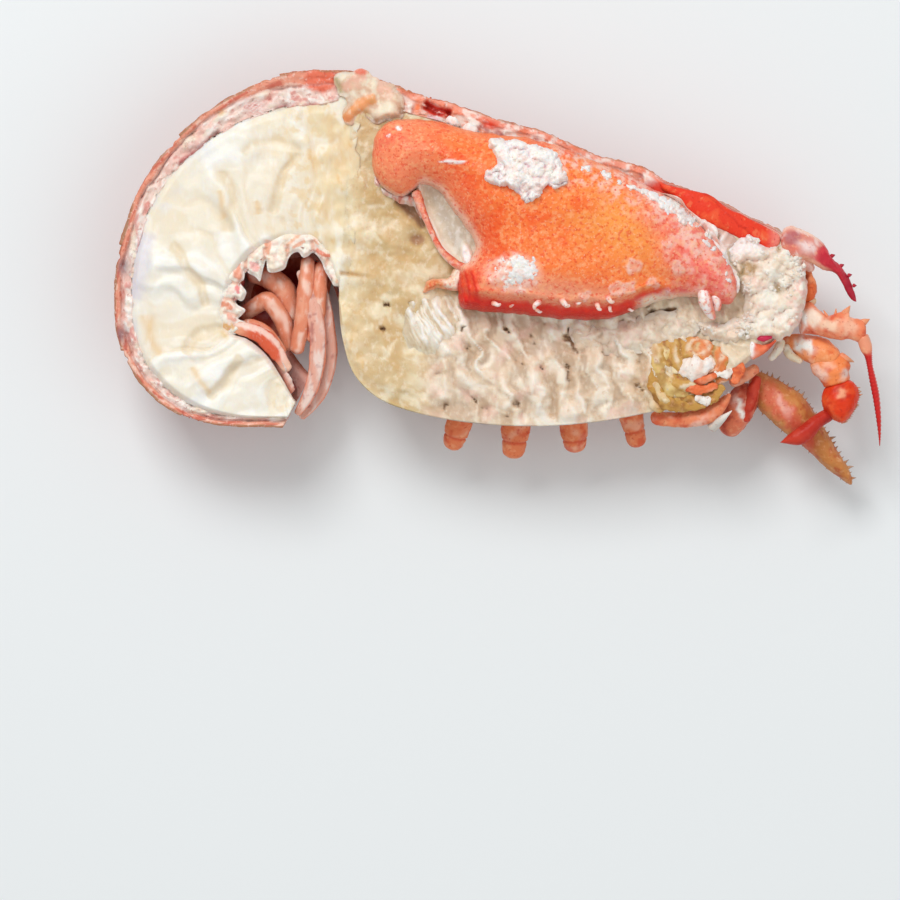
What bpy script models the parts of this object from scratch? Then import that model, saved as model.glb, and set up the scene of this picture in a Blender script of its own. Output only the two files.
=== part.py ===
"""Half of a cooked lobster, split lengthwise, lying cut face up with a claw shell on it.

Lengths are in millimetres up to make_object, which writes metres. +Z is up, +X points to the
head and +Y to the back of the animal. The cut face is level, CUT above the floor.
"""

import math
import random

import bpy
import bmesh
from mathutils import Vector, noise
from mathutils.geometry import delaunay_2d_cdt

MM = 0.001
GAP = 0.3
CUT = 30.0
SEED = 7

# Where the back edge and the belly edge of each half run on the cut face, station by station.
TAIL_BACK = [(-40.5, 58.3), (-49, 58.3), (-61, 57), (-75.5, 50.5), (-89, 40), (-99.5, 26.5),
             (-105.5, 9.5), (-107.2, -6), (-105, -20), (-98.5, -31), (-88.5, -38), (-76.5, -41),
             (-60, -41.2)]
TAIL_BELLY = [(-45, -6.5), (-48.5, 5), (-54, 9), (-61, 8.5), (-67, 5.5), (-71.5, 0.5),
              (-73.5, -5.5), (-75, -10), (-73, -14.5), (-68, -16), (-63, -20), (-59, -26),
              (-55.6, -32.5)]
TAIL_DEPTH = [27.5, 28.5, 30, 30.6, 30.8, 30.8, 30.4, 29.5, 28, 25.6, 22, 17, 11]

BODY_BACK = [(-40, 58.3), (-33.5, 56), (-24.5, 52.5), (-13.5, 49.5), (0.5, 44.5), (13.5, 41),
             (27, 35), (40, 31.5), (49.5, 26.5), (60, 23), (69.5, 18), (76.5, 15), (81, 12)]
BODY_BELLY = [(-44.5, -6.5), (-43.5, -17), (-40, -27.5), (-31.5, -35), (-16, -39.5), (0.5, -41.5),
              (17.5, -41.5), (34.5, -39.5), (51, -35.5), (63, -29.5), (71, -23), (79, -16),
              (84.5, -9)]
BODY_DEPTH = [27.5, 29, 30.4, 30.8, 31, 31, 30.8, 30.4, 29.5, 27.5, 24.5, 21, 17]

# The section of each half: an ellipse quarter on the back side, a tighter one on the belly side.
BACK_SHARE = 0.70
FLAP_REACH = 9.0
FLAP_SWEEP = math.radians(45)
BODY_REACH = 2.0
BODY_SWEEP = math.radians(50)
SHELL = 1.8
RIM_FADE = math.radians(55)

TAIL_RINGS = 6
TAIL_RUN = 130.0
RING_FLARE = 0.45
TAIL_RIM = [7.0, 9.5, 9.5, 8.0, 6.5, 5.6, 5.2, 5.2, 5.0, 5.0, 4.6, 4.2, 3.4]
BODY_RIM = [7.0, 6.5, 6.0, 6.0, 6.0, 6.0, 5.6, 5.2, 5.2, 5.2, 4.6, 3.6, 3.0]
BELLY_WALL = 2.6

CLAW_OUTLINE = [(-35, 35.5), (-33.5, 41), (-29.5, 44), (-24, 44.6), (-16, 43.8), (-5, 40.8),
                (6.5, 39.6), (17.5, 37), (26, 33.2), (34.5, 30), (42.5, 25.5), (50.5, 21.3),
                (55.5, 16.2), (59.5, 11.5), (63.2, 7), (66, 1.8), (67, -3), (65.4, -6.6),
                (62, -7), (58, -5.6), (51, -5.2), (44, -6.8), (37, -9.4), (30, -11.3),
                (17.5, -11.2), (6.5, -10), (-5, -9), (-10.6, -7.6), (-11, -1.5), (-10.6, 3.4),
                (-7.6, 5.4), (-6.2, 9.5), (-9, 14.5), (-12.5, 19), (-16, 24), (-20.5, 26.3),
                (-23.5, 24.8), (-26.8, 22.8), (-31.5, 25.3), (-34.4, 29.5)]
CLAW_BASE = CUT + 2.4
CLAW_RISE = 15.0
CLAW_SHOULDER = 17.0

# Set protein and skin that lie on the cut face.
JOINT_PAD = [(-46, 55.8), (-44, 58), (-41.4, 57.6), (-39.4, 59.2), (-36.4, 58.4), (-34.6, 56.4),
             (-30.6, 55.2), (-28, 52.8), (-26.4, 49.6), (-27, 46.8), (-31, 46.2), (-35, 45.4),
             (-38, 46.2), (-41.6, 43.6), (-43.4, 45.8), (-42.4, 50), (-44.6, 52.6)]
HEAD_CURD = [(66.2, 10.4), (67.6, 12.2), (70.2, 13), (72.8, 11.8), (73.8, 9.8), (76.6, 8.8),
             (80, 9.6), (83.6, 8.4), (86, 5), (86.4, 0), (86.2, -6), (84.6, -12), (80.6, -16.2),
             (72, -17.6), (64, -17.8), (57, -15.4), (56.6, -13.4), (63, -13.2), (68.4, -9.4),
             (69.2, -5.6), (68.8, -1), (67.8, 2.4), (66.4, 4.8), (65.2, 8)]
LEG_SOCKET = [(43, -19), (52, -16.5), (60, -18.8), (67.5, -22), (67, -25.5), (60.5, -30.5),
              (51, -35), (43.5, -36.5), (41.5, -28)]
GILL_BED = [(-27.4, -6.6), (-22.6, -5.6), (-14.6, -5.4), (-11.6, -9.8), (-10.6, -15.6),
            (-13.6, -21), (-20.6, -21.6), (-26.4, -18.6), (-28.6, -12.6)]
CLAW_LINING = [(-23.4, 24), (-20.5, 24.6), (-16, 22.8), (-12.2, 18), (-8.6, 14), (-5.8, 9.5),
               (-7.2, 4.8), (-9.6, 2.8), (-13.2, 4.8), (-16.6, 9), (-19, 14.6), (-21.8, 20)]
CLAW_CHIP = [(-20.6, -3.6), (-19.6, -1), (-17.4, 0.2), (-14, 0.2), (-11.8, 1.8), (-11.8, -2),
             (-12.8, -3.2), (-16.6, -2.4)]

# Flattened limbs: an upper and a lower edge seen from above, then heights and half thicknesses.
HEAD_SKIN = ([(45.4, 27.2), (47.1, 26.4), (52.3, 25.2), (57.3, 24.1), (60.2, 22.7), (62.6, 20.9),
              (65.7, 18.9), (67.9, 18.2), (71, 16.5), (74.1, 15), (77, 13.4), (79.2, 12)],
             [(45.6, 25.4), (47.1, 24.4), (49.5, 22.8), (51, 21), (52.5, 18.5), (56, 16),
              (58.6, 15), (62.3, 14), (65.7, 13.8), (68, 14.4), (71, 14.4), (74, 12.6),
              (76.6, 11.4), (79, 11.2)],
             [CUT + 1.45, CUT + 1.45], [0.6, 0.6])
BEAK = ([(81.8, 14.6), (84, 14.3), (88.4, 12.1), (91.5, 9.7), (93.5, 6.2), (95.9, 3.8),
         (98.1, 1.1), (99.8, -2.4), (100.8, -6.3)],
        [(83.4, 5.6), (85.8, 5.2), (89.4, 3.6), (91.5, 2.4), (94.6, 1.6), (96.3, -0.6),
         (97.7, -3.2), (99, -5.4), (100.6, -6.4)],
        [27.2, 27.6, 27.6, 27.4, 27.2, 27, 27], [2.4, 2.9, 2.8, 2.2, 1.6, 1.2, 0.5])
FEELER_BASE = ([(85.8, -6.3), (88, -6.3), (90.2, -8.5), (92.8, -10.3), (95.5, -9.4),
                (98.3, -8.9), (98.9, -10.5), (101.2, -11.1), (103, -11.8)],
               [(85.8, -15.1), (88.9, -15.6), (92.4, -16.2), (96.3, -16.9), (98.5, -16.6),
                (100.6, -16), (103, -14)],
               [25, 26.8, 27.6, 28, 28], [3.0, 3.6, 3.0, 2.7, 2.0])
FEELER = ([(101.4, -17.4), (101.8, -19.9), (102.9, -21.6), (103.6, -24.3), (104.4, -28.6),
           (105.5, -33.9), (106.4, -39.1), (107.2, -44.4), (107.5, -46.8)],
          [(104.4, -15.6), (104.9, -18.1), (105.1, -21.6), (105.3, -24.3), (106.4, -28.6),
           (107.3, -33), (107.8, -39.1), (107.8, -44.4), (107.7, -46.8)],
          [28, 28, 27.6, 26.6, 25, 23], [1.8, 1.7, 1.3, 1.2, 0.9, 0.3])
THIGH = ([(80.2, -17), (81.9, -15.7), (85.4, -15.4), (89.3, -16), (92.8, -17), (96, -20.3),
          (98.3, -22.1), (99.2, -24.3), (98.9, -26)],
         [(80.2, -17.4), (81.9, -19.2), (84.5, -21.2), (86.7, -22.9), (87.6, -23.8),
          (88.4, -25.2), (89.2, -26.6), (90.2, -27.6), (91.4, -28.2)],
         [20, 21.5, 23, 23.6, 23.2], [1.4, 3.4, 3.8, 3.6, 3.0])
SHIN = ([(99.6, -27.8), (101.4, -30.4), (101.7, -32.6), (100.9, -35.6), (99.4, -38.3),
         (97.9, -40)],
        [(92.4, -30), (91.3, -32.6), (91.5, -35.2), (92.8, -37.8), (94.6, -39.3),
         (96.6, -40.4)],
        [23, 23, 22.6, 22], [3.4, 4.6, 4.6, 3.0])
TOE = ([(90.4, -37.2), (88.6, -38.5), (85.4, -40.9), (81.9, -43.5), (79.4, -45.6)],
       [(92.6, -40.7), (91.3, -41.6), (88.5, -44.6), (85, -46.5), (79.6, -46)],
       [23.6, 24.4, 24.6, 24], [2.0, 2.4, 2.0, 0.8])
ARM = ([(76.4, -26.4), (78.4, -27.5), (81.9, -29.5), (85.4, -31.7), (87.8, -34.3),
        (90.2, -37.8), (93.7, -43.5), (96.8, -48.8), (99.8, -53.5), (101.2, -57.2)],
       [(74.8, -31.6), (75.0, -36.4), (77.1, -39.1), (79.3, -41.3), (81.9, -43.5),
        (86.3, -46.6), (90.2, -50.1), (93.3, -53.1), (97.4, -55.9), (100, -58.2)],
       [16, 16, 15.4, 14, 12], [3.2, 4.4, 4.6, 4.2, 2.2])
SOCKET_EDGE = ([(43, -38.8), (51, -37.6), (57.6, -36), (63.4, -32.8), (65.2, -31.6)],
               [(43, -40.8), (51, -41.6), (57.6, -41.2), (62.6, -38.4), (65.8, -33)],
               [25.6, 26.8, 27.4, 27.4], [1.0, 1.9, 1.9, 1.0])

# Broken legs along the belly edge: share along the body, reach, slant and half width.
LEG_STUBS = ((0.36, 7.0, -0.10, 3.7), (0.44, 8.4, 0.06, 4.1), (0.52, 6.6, 0.20, 4.0),
             (0.60, 8.0, 0.30, 3.4))

# The tail fan and the swimming legs inside the curl of the tail: path and radii.
FAN_BLADES = [
    ([(-56.4, -38, 22), (-52.4, -31, 22.8), (-50.4, -21, 23.4), (-50.8, -9, 23.6),
      (-53.8, 1.6, 22.6)], [0.9, 1.8, 2.2, 2.3, 1.1]),
    ([(-55.4, -39, 17.6), (-50, -32, 18.8), (-47.4, -22, 19.8), (-48.4, -10, 20.4),
      (-50.2, 1, 20)], [0.9, 1.8, 2.2, 2.3, 1.1])]
SWIMMERS = [
    ([(-54.2, 5.4, 25), (-54, 0, 26.6), (-55, -10, 27), (-56.5, -20, 25.6)],
     [1.3, 1.7, 1.8, 1.5]),
    ([(-50.6, 2, 25), (-50.2, -2, 26.4), (-50.6, -9, 26.8), (-52, -17.6, 25.6)],
     [1.0, 1.5, 1.8, 1.6]),
    ([(-68.4, 0.2, 17), (-64.5, 0.4, 19), (-61.2, -2.4, 19.8), (-59.4, -6.5, 19.8)],
     [1.6, 2.6, 2.6, 1.9]),
    ([(-72.2, -10.2, 20), (-68, -7.4, 22.4), (-64.2, -6.4, 24), (-60.4, -12, 23.6),
      (-58.6, -19.6, 22)], [1.6, 2.2, 2.4, 2.3, 1.7]),
    ([(-71.4, -13.4, 26), (-69, -12.9, 27), (-64.6, -15, 27), (-60.4, -20.4, 26)],
     [1.0, 1.6, 1.7, 1.2])]

COLOURS = {
    "shell_red": (0.62, 0.11, 0.06),
    "carapace_red": (0.72, 0.07, 0.04),
    "claw_orange": (0.88, 0.24, 0.11),
    "tail_white": (0.88, 0.83, 0.72),
    "body_tan": (0.72, 0.56, 0.38),
    "curd_white": (0.80, 0.68, 0.58),
    "limb_orange": (0.66, 0.17, 0.07),
    "skin_gold": (0.60, 0.36, 0.14),
    "beak_crimson": (0.46, 0.05, 0.08),
    "fan_pink": (0.68, 0.30, 0.20),
}


def clear_scene():
    for found in list(bpy.data.objects):
        bpy.data.objects.remove(found, do_unlink=True)


def material(name):
    made = bpy.data.materials.get(name)
    if made is None:
        made = bpy.data.materials.new(name)
        made.use_nodes = True
        shader = made.node_tree.nodes["Principled BSDF"]
        shader.inputs["Base Color"].default_value = (*COLOURS[name], 1)
        shader.inputs["Roughness"].default_value = 0.45
        shader.inputs["Metallic"].default_value = 0
    return made


def make_object(name, points, faces, colour):
    """A smooth-shaded closed object from points in millimetres, with its faces outwards."""
    mesh = bpy.data.meshes.new(name)
    mesh.from_pydata([Vector(p) * MM for p in points], [], faces)
    work = bmesh.new()
    work.from_mesh(mesh)
    bmesh.ops.recalc_face_normals(work, faces=work.faces)
    work.to_mesh(mesh)
    work.free()
    mesh.shade_smooth()
    mesh.materials.append(material(colour))
    made = bpy.data.objects.new(name, mesh)
    bpy.context.collection.objects.link(made)
    return made


def on_curve(points, share):
    """The place at a share from 0 to 1 of a Catmull-Rom curve, with even shares per point."""
    last = len(points) - 1
    spot = min(max(share, 0), 1) * last
    k = min(int(spot), last - 1)
    t = spot - k
    a, b, c, d = (Vector(points[min(max(k + i, 0), last)]) for i in (-1, 0, 1, 2))
    return 0.5 * (2 * b + (c - a) * t + (2 * a - 5 * b + 4 * c - d) * t ** 2
                  + (3 * b - a - 3 * c + d) * t ** 3)


def on_list(values, share):
    return on_curve([(v, 0) for v in values], share)[0]


class Half:
    """One stretch of the split animal: its edges on the cut face and its depth below it."""

    def __init__(self, back, belly, depth, rim, reach, sweep):
        self.back = back
        self.belly = belly
        self.depth = depth
        self.rim = rim
        self.reach = reach
        self.sweep = sweep

    def place(self, share, across, height):
        """World point `across` mm from the back edge towards the belly, at a height."""
        start = on_curve(self.back, share)
        way = (on_curve(self.belly, share) - start).normalized()
        spot = start + way * across
        return (spot.x, spot.y, max(height, 0))

    def width(self, share):
        return (on_curve(self.belly, share) - on_curve(self.back, share)).length

    def skin(self, share, angle, inwards):
        """(across, height) of the section's skin at an angle, moved inwards by a distance."""
        wide = self.width(share)
        deep = on_list(self.depth, share)
        near = BACK_SHARE * wide
        far = wide - near + self.reach
        if angle <= math.pi / 2:
            spot = Vector((near * (1 - math.cos(angle)), -deep * math.sin(angle)))
            normal = Vector((deep * math.cos(angle), near * math.sin(angle)))
        else:
            turn = angle - math.pi / 2
            spot = Vector((near + far * math.sin(turn), -deep * math.cos(turn)))
            normal = Vector((-deep * math.sin(turn), far * math.cos(turn)))
        spot += normal.normalized() * inwards
        return spot.x, CUT + spot.y

    def thickness(self, share, angle):
        fade = max(0, 1 - angle / RIM_FADE)
        return SHELL + (on_list(self.rim, share) - SHELL) * fade ** 1.5

    def floor_at(self, share, across):
        """Height of the shell's inner face at a distance across, on its belly side."""
        low = SHELL
        for k in range(13):
            angle = math.pi / 2 + self.sweep * k / 12
            spot, height = self.skin(share, angle, SHELL)
            if spot <= across + 1:
                low = max(low, height)
        return low


def steps(count):
    return [k / (count - 1) for k in range(count)]


def loft(name, rows, colour):
    """A closed solid through rows of points of equal count, with a flat cap on each end."""
    size = len(rows[0])
    points = [p for row in rows for p in row]
    faces = [list(range(size)), list(range(len(points) - size, len(points)))]
    for r in range(len(rows) - 1):
        for k in range(size):
            n = (k + 1) % size
            faces.append([r * size + k, r * size + n, (r + 1) * size + n, (r + 1) * size + k])
    return make_object(name, points, faces, colour)


def shell_strip(name, half, start, end, stations, colour, flare):
    """The shell between two shares of a half: an open trough whose rim lies in the cut face."""
    angles = [t * (math.pi / 2 + half.sweep) for t in steps(12)]
    rows = []
    for t in steps(stations):
        share = start + (end - start) * t
        lift = flare * t ** 2
        row = [half.place(share, *half.skin(share, a, -lift)) for a in angles]
        for a in reversed(angles):
            thick = half.thickness(share, a)
            across, height = half.skin(share, a, thick)
            row.append(half.place(share, across, max(height, SHELL)))
        rows.append(row)
    return loft(name, rows, colour)


def flesh_strip(name, half, start, end, stations, wall, crown, colour):
    """The flesh that fills a shell strip, up to the cut face and to a wall on the belly side."""
    rows = []
    for t in steps(stations):
        share = start + (end - start) * t
        edge = half.width(share) - wall
        row = []
        for k in range(10):
            angle = (math.pi / 2 + half.sweep) * k / 11
            across, height = half.skin(share, angle, half.thickness(share, angle) + GAP)
            row.append((min(across, edge), max(height, SHELL + GAP)))
        rim = row[0][0]
        for k in range(8):
            across = edge + (rim - edge) * k / 8
            swell = crown * math.sin(math.pi * k / 8)
            ripple = noise.noise(Vector((share * 30, across * 0.12, 3)))
            row.append((across, CUT + swell * (1 + 0.6 * ripple)))
        rows.append([half.place(share, *p) for p in row])
    return loft(name, rows, colour)


def wall_strip(name, half, start, end, stations, teeth, colour):
    """The upright belly plate beside the flesh, with a toothed upper edge."""
    chance = random.Random(SEED)
    rows = []
    for t in steps(stations):
        share = start + (end - start) * t
        wide = half.width(share)
        low = half.floor_at(share, wide) + 2 * GAP
        tooth = teeth * chance.uniform(0.1, 1)
        lean = chance.uniform(-0.2, 1.1)
        inner = wide - BELLY_WALL + GAP
        row = [(inner, low), (wide, low), (wide + 0.3, CUT - 3), (wide + lean, CUT + tooth),
               (wide - 1 + lean / 2, CUT + tooth), (inner, CUT + 0.2)]
        rows.append([half.place(share, *p) for p in row])
    return loft(name, rows, colour)


def tube(name, path, radii, colour, squash=1.0, sides=9, stations=12, spin=0.0):
    """A closed round or flattened limb along a path; squash is its thickness over its width."""
    spots = [on_curve(path, t) for t in steps(stations)]
    rows = []
    for k, spot in enumerate(spots):
        ahead = spots[min(k + 1, stations - 1)] - spots[max(k - 1, 0)]
        ahead.normalize()
        side = ahead.cross(Vector((0, 0, 1))).normalized()
        up = side.cross(ahead)
        side, up = (side * math.cos(spin) + up * math.sin(spin),
                    up * math.cos(spin) - side * math.sin(spin))
        radius = on_list(radii, k / (stations - 1))
        row = []
        for s in range(sides):
            turn = math.tau * s / sides
            row.append(spot + side * radius * math.cos(turn) + up * radius * squash * math.sin(turn))
        rows.append(row)
    return loft(name, rows, colour)


def blade(name, edges, colour, stations=12, sides=8, ends=0.06):
    """A closed flattened limb between two edge lines, with rounded ends."""
    upper, lower, heights, deep = edges
    rows = []
    for t in steps(stations):
        near = on_curve(upper, t)
        far = on_curve(lower, t)
        short = max(1 - t / ends, 1 - (1 - t) / ends, 0)
        fade = math.sqrt(max(1 - short ** 2, 0.05))
        middle = (near + far) / 2
        half = (near - far) / 2 * fade
        height = on_list(heights, t)
        thick = on_list(deep, t) * fade
        row = []
        for s in range(sides):
            turn = math.tau * s / sides
            spot = middle + half * math.cos(turn)
            row.append((spot.x, spot.y, height + thick * math.sin(turn)))
        rows.append(row)
    return loft(name, rows, colour)


def closed_curve(points, spacing):
    """Evenly spaced points on the smooth closed curve through an outline."""
    count = len(points)
    dense = []
    for k in range(count):
        a, b, c, d = (Vector(points[(k + i) % count]) for i in (-1, 0, 1, 2))
        for t in (0, 0.25, 0.5, 0.75):
            dense.append(0.5 * (2 * b + (c - a) * t + (2 * a - 5 * b + 4 * c - d) * t ** 2
                                + (3 * b - a - 3 * c + d) * t ** 3))
    kept = [dense[0]]
    for spot in dense[1:]:
        if (spot - kept[-1]).length >= spacing and (spot - kept[0]).length >= 0.6 * spacing:
            kept.append(spot)
    return kept


def edge_distance(spot, rim):
    best = math.inf
    for a, b in zip(rim, rim[1:] + rim[:1]):
        run = b - a
        t = min(max((spot - a).dot(run) / run.length_squared, 0), 1)
        best = min(best, (spot - a - run * t).length)
    return best


def mound(name, outline, spacing, base, top, colour):
    """A solid that stands on a level base inside an outline; top(x, y, edge distance) is its
    height above the base."""
    rim = closed_curve(outline, spacing)
    size = len(rim)
    xs = [p.x for p in rim]
    ys = [p.y for p in rim]
    inner = []
    row = 0
    y = min(ys)
    while y < max(ys):
        x = min(xs) + (row % 2) * spacing / 2
        while x < max(xs):
            inner.append(Vector((x, y)))
            x += spacing
        y += spacing * 0.87
        row += 1
    inner = [p for p in inner if edge_distance(p, rim) > 0.5 * spacing]
    plan, _, faces, _, _, _ = delaunay_2d_cdt(rim + inner, [], [list(range(size))], 1, 1e-5)
    count = len(plan)
    upper = []
    for p in plan:
        away = edge_distance(p, rim)
        upper.append((p.x, p.y, base + max(top(p.x, p.y, away), 0.4)))
    lower = [(p.x, p.y, base) for p in plan]
    sides = {}
    for face in faces:
        for a, b in zip(face, list(face[1:]) + [face[0]]):
            if (b, a) in sides:
                del sides[(b, a)]
            else:
                sides[(a, b)] = True
    solid = [list(f) for f in faces]
    solid += [[k + count for k in reversed(f)] for f in faces]
    solid += [[b, a, a + count, b + count] for a, b in sides]
    return make_object(name, upper + lower, solid, colour)


def dome(reach, rise, power=2.0):
    """Height over the distance from the edge, rising to `rise` at `reach`."""
    def height(x, y, away):
        t = min(away / reach, 1)
        return rise * (1 - (1 - t) ** power) ** (1 / power)
    return height


def lumpy(reach, rise, size, depth):
    """A dome with rounded lumps of a size on it."""
    smooth = dome(reach, rise)

    def height(x, y, away):
        lump = noise.noise(Vector((x / size, y / size, 1.7)))
        return smooth(x, y, away) + depth * lump * min(away / reach, 1)
    return height


def claw_height(x, y, away):
    """The claw shell's domed outside, lower over its narrow hind lobe and towards its tip."""
    t = min(away / CLAW_SHOULDER, 1)
    along = min(max((x + 35) / 102, 0), 1)
    fall = 0.62 + 0.38 * math.sin(math.pi * min(along * 0.95 + 0.08, 1))
    return CLAW_RISE * fall * (1 - (1 - t) ** 2.2) ** (1 / 2.2)


def build_tail(tail):
    ring = 1 / TAIL_RINGS
    slack = GAP / TAIL_RUN
    for k in range(TAIL_RINGS):
        start = k * ring + (slack if k else 0)
        end = (k + 1) * ring - slack
        shell_strip(f"tail_ring_{k + 1}", tail, start, end, 5, "shell_red", RING_FLARE)
    flesh_strip("tail_meat", tail, 0, 0.99, 33, BELLY_WALL, 1.2, "tail_white")
    wall_strip("belly_plate", tail, 0.05, 0.97, 30, 2.4, "fan_pink")


def build_body(body):
    shell_strip("back_shell", body, 0, 1, 20, "carapace_red", 0)
    flesh_strip("body_flesh", body, 0, 0.997, 24, 0.5, 0.4, "body_tan")
    top = CUT + GAP
    mound("joint_pad", JOINT_PAD, 3.0, top + 1, lumpy(3, 2.6, 3.0, 2.0), "curd_white")
    mound("head_curd", HEAD_CURD, 3.2, top + 0.6, lumpy(3.5, 3.6, 3.4, 3.0), "curd_white")
    mound("leg_socket", LEG_SOCKET, 3.2, top + 0.6, lumpy(4, 2.6, 4.0, 2.0), "skin_gold")
    mound("gill_tuft", GILL_BED, 3.0, top + 0.6, lumpy(3, 1.6, 2.5, 1.4), "curd_white")
    blade("head_skin", HEAD_SKIN, "carapace_red", stations=16, sides=6)


def build_claw():
    """The claw shell, its hooked tooth and the torn parts of its open joint."""
    mound("claw_shell", CLAW_OUTLINE, 3.4, CLAW_BASE, claw_height, "claw_orange")
    hook = [(57.3, -6.4, CLAW_BASE + 3), (58.2, -8.6, CLAW_BASE + 2.4),
            (60.2, -11.2, CLAW_BASE + 1.6)]
    tube("claw_hook", hook, [1.7, 1.4, 0.5], "claw_orange", stations=6, sides=8)
    strut = [(-23.4, 22.4, CUT + 4.2), (-20.6, 18, CUT + 4.4), (-18, 12, CUT + 4.2),
             (-15.8, 8, CUT + 4), (-13.2, 4.4, CUT + 3.8)]
    tube("claw_strut", strut, [1.2, 1.0, 0.8, 0.9, 1.0], "claw_orange", stations=9, sides=8)
    low = CUT + GAP + 0.6
    mound("claw_lining", CLAW_LINING, 2.6, low, dome(2.4, 1.0), "curd_white")
    mound("claw_chip", CLAW_CHIP, 1.8, low, dome(1.6, 2.2), "claw_orange")


def build_head():
    blade("beak", BEAK, "beak_crimson", stations=14)
    stalk = [(83.6, 3.2, 23.6), (86.4, 2.6, 24.4), (87.4, 0.4, 25.2), (87.8, -2.4, 25.4),
             (87.4, -4.2, 25)]
    tube("eye_stalk", stalk, [1.2, 1.2, 1.2, 1.8, 1.0], "limb_orange", stations=9, sides=8)
    blade("feeler_base", FEELER_BASE, "limb_orange", stations=13)
    blade("feeler", FEELER, "beak_crimson", stations=14, sides=6)


def build_limbs():
    blade("mouth_leg_thigh", THIGH, "limb_orange", stations=13)
    blade("mouth_leg_shin", SHIN, "limb_orange")
    blade("mouth_leg_toe", TOE, "beak_crimson", stations=9)
    blade("spiny_arm", ARM, "limb_orange", stations=16)
    root = [(67.8, -27, 18), (69.4, -31.4, 18), (67.6, -37, 17.4), (64, -43, 16)]
    tube("leg_root", root, [3.2, 4.2, 4.2, 3], "limb_orange", stations=9)
    blade("socket_edge", SOCKET_EDGE, "limb_orange", stations=9, sides=6)


def build_leg_stubs(body):
    """Short broken leg bases in a row below the belly edge of the body."""
    for k, (share, reach, lean, wide) in enumerate(LEG_STUBS):
        path = []
        for out, height in ((GAP, 19), (4, 18.4), (reach, 15.6)):
            x, y, z = body.place(share, body.width(share) + out, height)
            path.append((x + lean * out, y, z))
        tube(f"leg_stub_{k + 1}", path, [wide, 0.9 * wide, 0.74 * wide], "limb_orange",
             squash=0.9, stations=6, sides=10)


def build_fan():
    """The tail fan and the swimming legs, folded into the curl of the tail."""
    for k, (path, radii) in enumerate(FAN_BLADES):
        tube(f"fan_blade_{k + 1}", path, radii, "fan_pink", squash=0.5, stations=9, sides=8)
    for k, (path, radii) in enumerate(SWIMMERS):
        tube(f"swimmer_{k + 1}", path, radii, "limb_orange", squash=0.6, stations=9, sides=8)


def build():
    clear_scene()
    tail = Half(TAIL_BACK, TAIL_BELLY, TAIL_DEPTH, TAIL_RIM, FLAP_REACH, FLAP_SWEEP)
    body = Half(BODY_BACK, BODY_BELLY, BODY_DEPTH, BODY_RIM, BODY_REACH, BODY_SWEEP)
    build_tail(tail)
    build_body(body)
    build_claw()
    build_head()
    build_limbs()
    build_leg_stubs(body)
    build_fan()


build()
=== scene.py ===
"""Looks of half a cooked lobster: each surface is a mesh shaped in code, with its own finish.

Lengths are in millimetres until a mesh is made. The cut face lies level at CUT, +X points to the
head and +Y to the back of the animal, as in the frame.
"""
import math

import bpy
import numpy as np
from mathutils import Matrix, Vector
from mathutils.geometry import delaunay_2d_cdt


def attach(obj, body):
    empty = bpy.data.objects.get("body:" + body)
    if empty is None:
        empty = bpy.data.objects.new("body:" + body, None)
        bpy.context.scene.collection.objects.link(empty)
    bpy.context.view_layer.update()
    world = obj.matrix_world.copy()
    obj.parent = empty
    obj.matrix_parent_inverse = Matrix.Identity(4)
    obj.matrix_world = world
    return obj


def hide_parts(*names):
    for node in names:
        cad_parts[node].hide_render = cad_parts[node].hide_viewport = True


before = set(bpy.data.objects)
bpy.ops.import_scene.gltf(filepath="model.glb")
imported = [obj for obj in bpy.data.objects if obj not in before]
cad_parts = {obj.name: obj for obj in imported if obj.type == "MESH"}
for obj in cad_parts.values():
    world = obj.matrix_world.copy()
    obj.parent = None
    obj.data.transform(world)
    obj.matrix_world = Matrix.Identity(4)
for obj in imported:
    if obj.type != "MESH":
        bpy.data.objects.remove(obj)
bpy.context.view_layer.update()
FINE = 0.84

MM = 0.001
CUT = 30.0
CLAW_BASE = CUT + 2.4
LEG_STUBS = ((0.36, 7.0, -0.1, 3.7), (0.44, 8.4, 0.06, 4.1), (0.52, 6.6, 0.2, 4.0), (0.6, 8.0, 0.3, 3.4))
# The two halves' edges on the cut face and their depth below it, as the frame has them.
TAIL_BACK = [
    (-39.8, 58.3), (-49, 58.3), (-61, 57), (-75.5, 50.5), (-89, 40), (-99.5, 26.5), (-105.5, 9.5),
    (-107.2, -6), (-105, -20), (-98.5, -31), (-88.5, -38), (-76.5, -41), (-60, -41.2)]
TAIL_BELLY = [(-44.3, -6.5), (-48.5, 5), (-54, 9), (-61, 8.5), (-67, 5.5), (-71.5, 0.5), (-73.5, -5.5),
              (-75, -10), (-73, -14.5), (-68, -16), (-63, -20), (-59, -26), (-55.6, -32.5)]
TAIL_DEPTH = [27.5, 28.5, 30, 30.6, 30.8, 30.8, 30.4, 29.5, 28, 25.6, 22, 17, 11]
TAIL_RIM = [7.0, 9.5, 9.5, 8.0, 6.5, 5.6, 5.2, 5.2, 5.0, 5.0, 4.6, 4.2, 3.4]
BODY_BACK = [(-40, 58.3), (-33.5, 56), (-24.5, 52.5), (-13.5, 49.5), (0.5, 44.5), (13.5, 41), (27, 35),
             (40, 31.5), (49.5, 26.5), (60, 23), (69.5, 18), (76.5, 15), (81, 12)]
BODY_BELLY = [(-44.5, -6.5), (-43.5, -17), (-40, -27.5), (-31.5, -35), (-16, -39.5), (0.5, -41.5),
              (17.5, -41.5), (34.5, -39.5), (51, -35.5), (63, -29.5), (71, -23), (79, -16), (84.5, -9)]
BODY_DEPTH = [27.5, 29, 30.4, 30.8, 31, 31, 30.8, 30.4, 29.5, 27.5, 24.5, 21, 17]
BODY_RIM = [7.0, 6.5, 6.0, 6.0, 6.0, 6.0, 5.6, 5.2, 5.2, 5.2, 4.6, 3.6, 3.0]
BACK_SHARE = 0.7
FLAP_REACH = 9.0
FLAP_SWEEP = math.radians(45)
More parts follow.
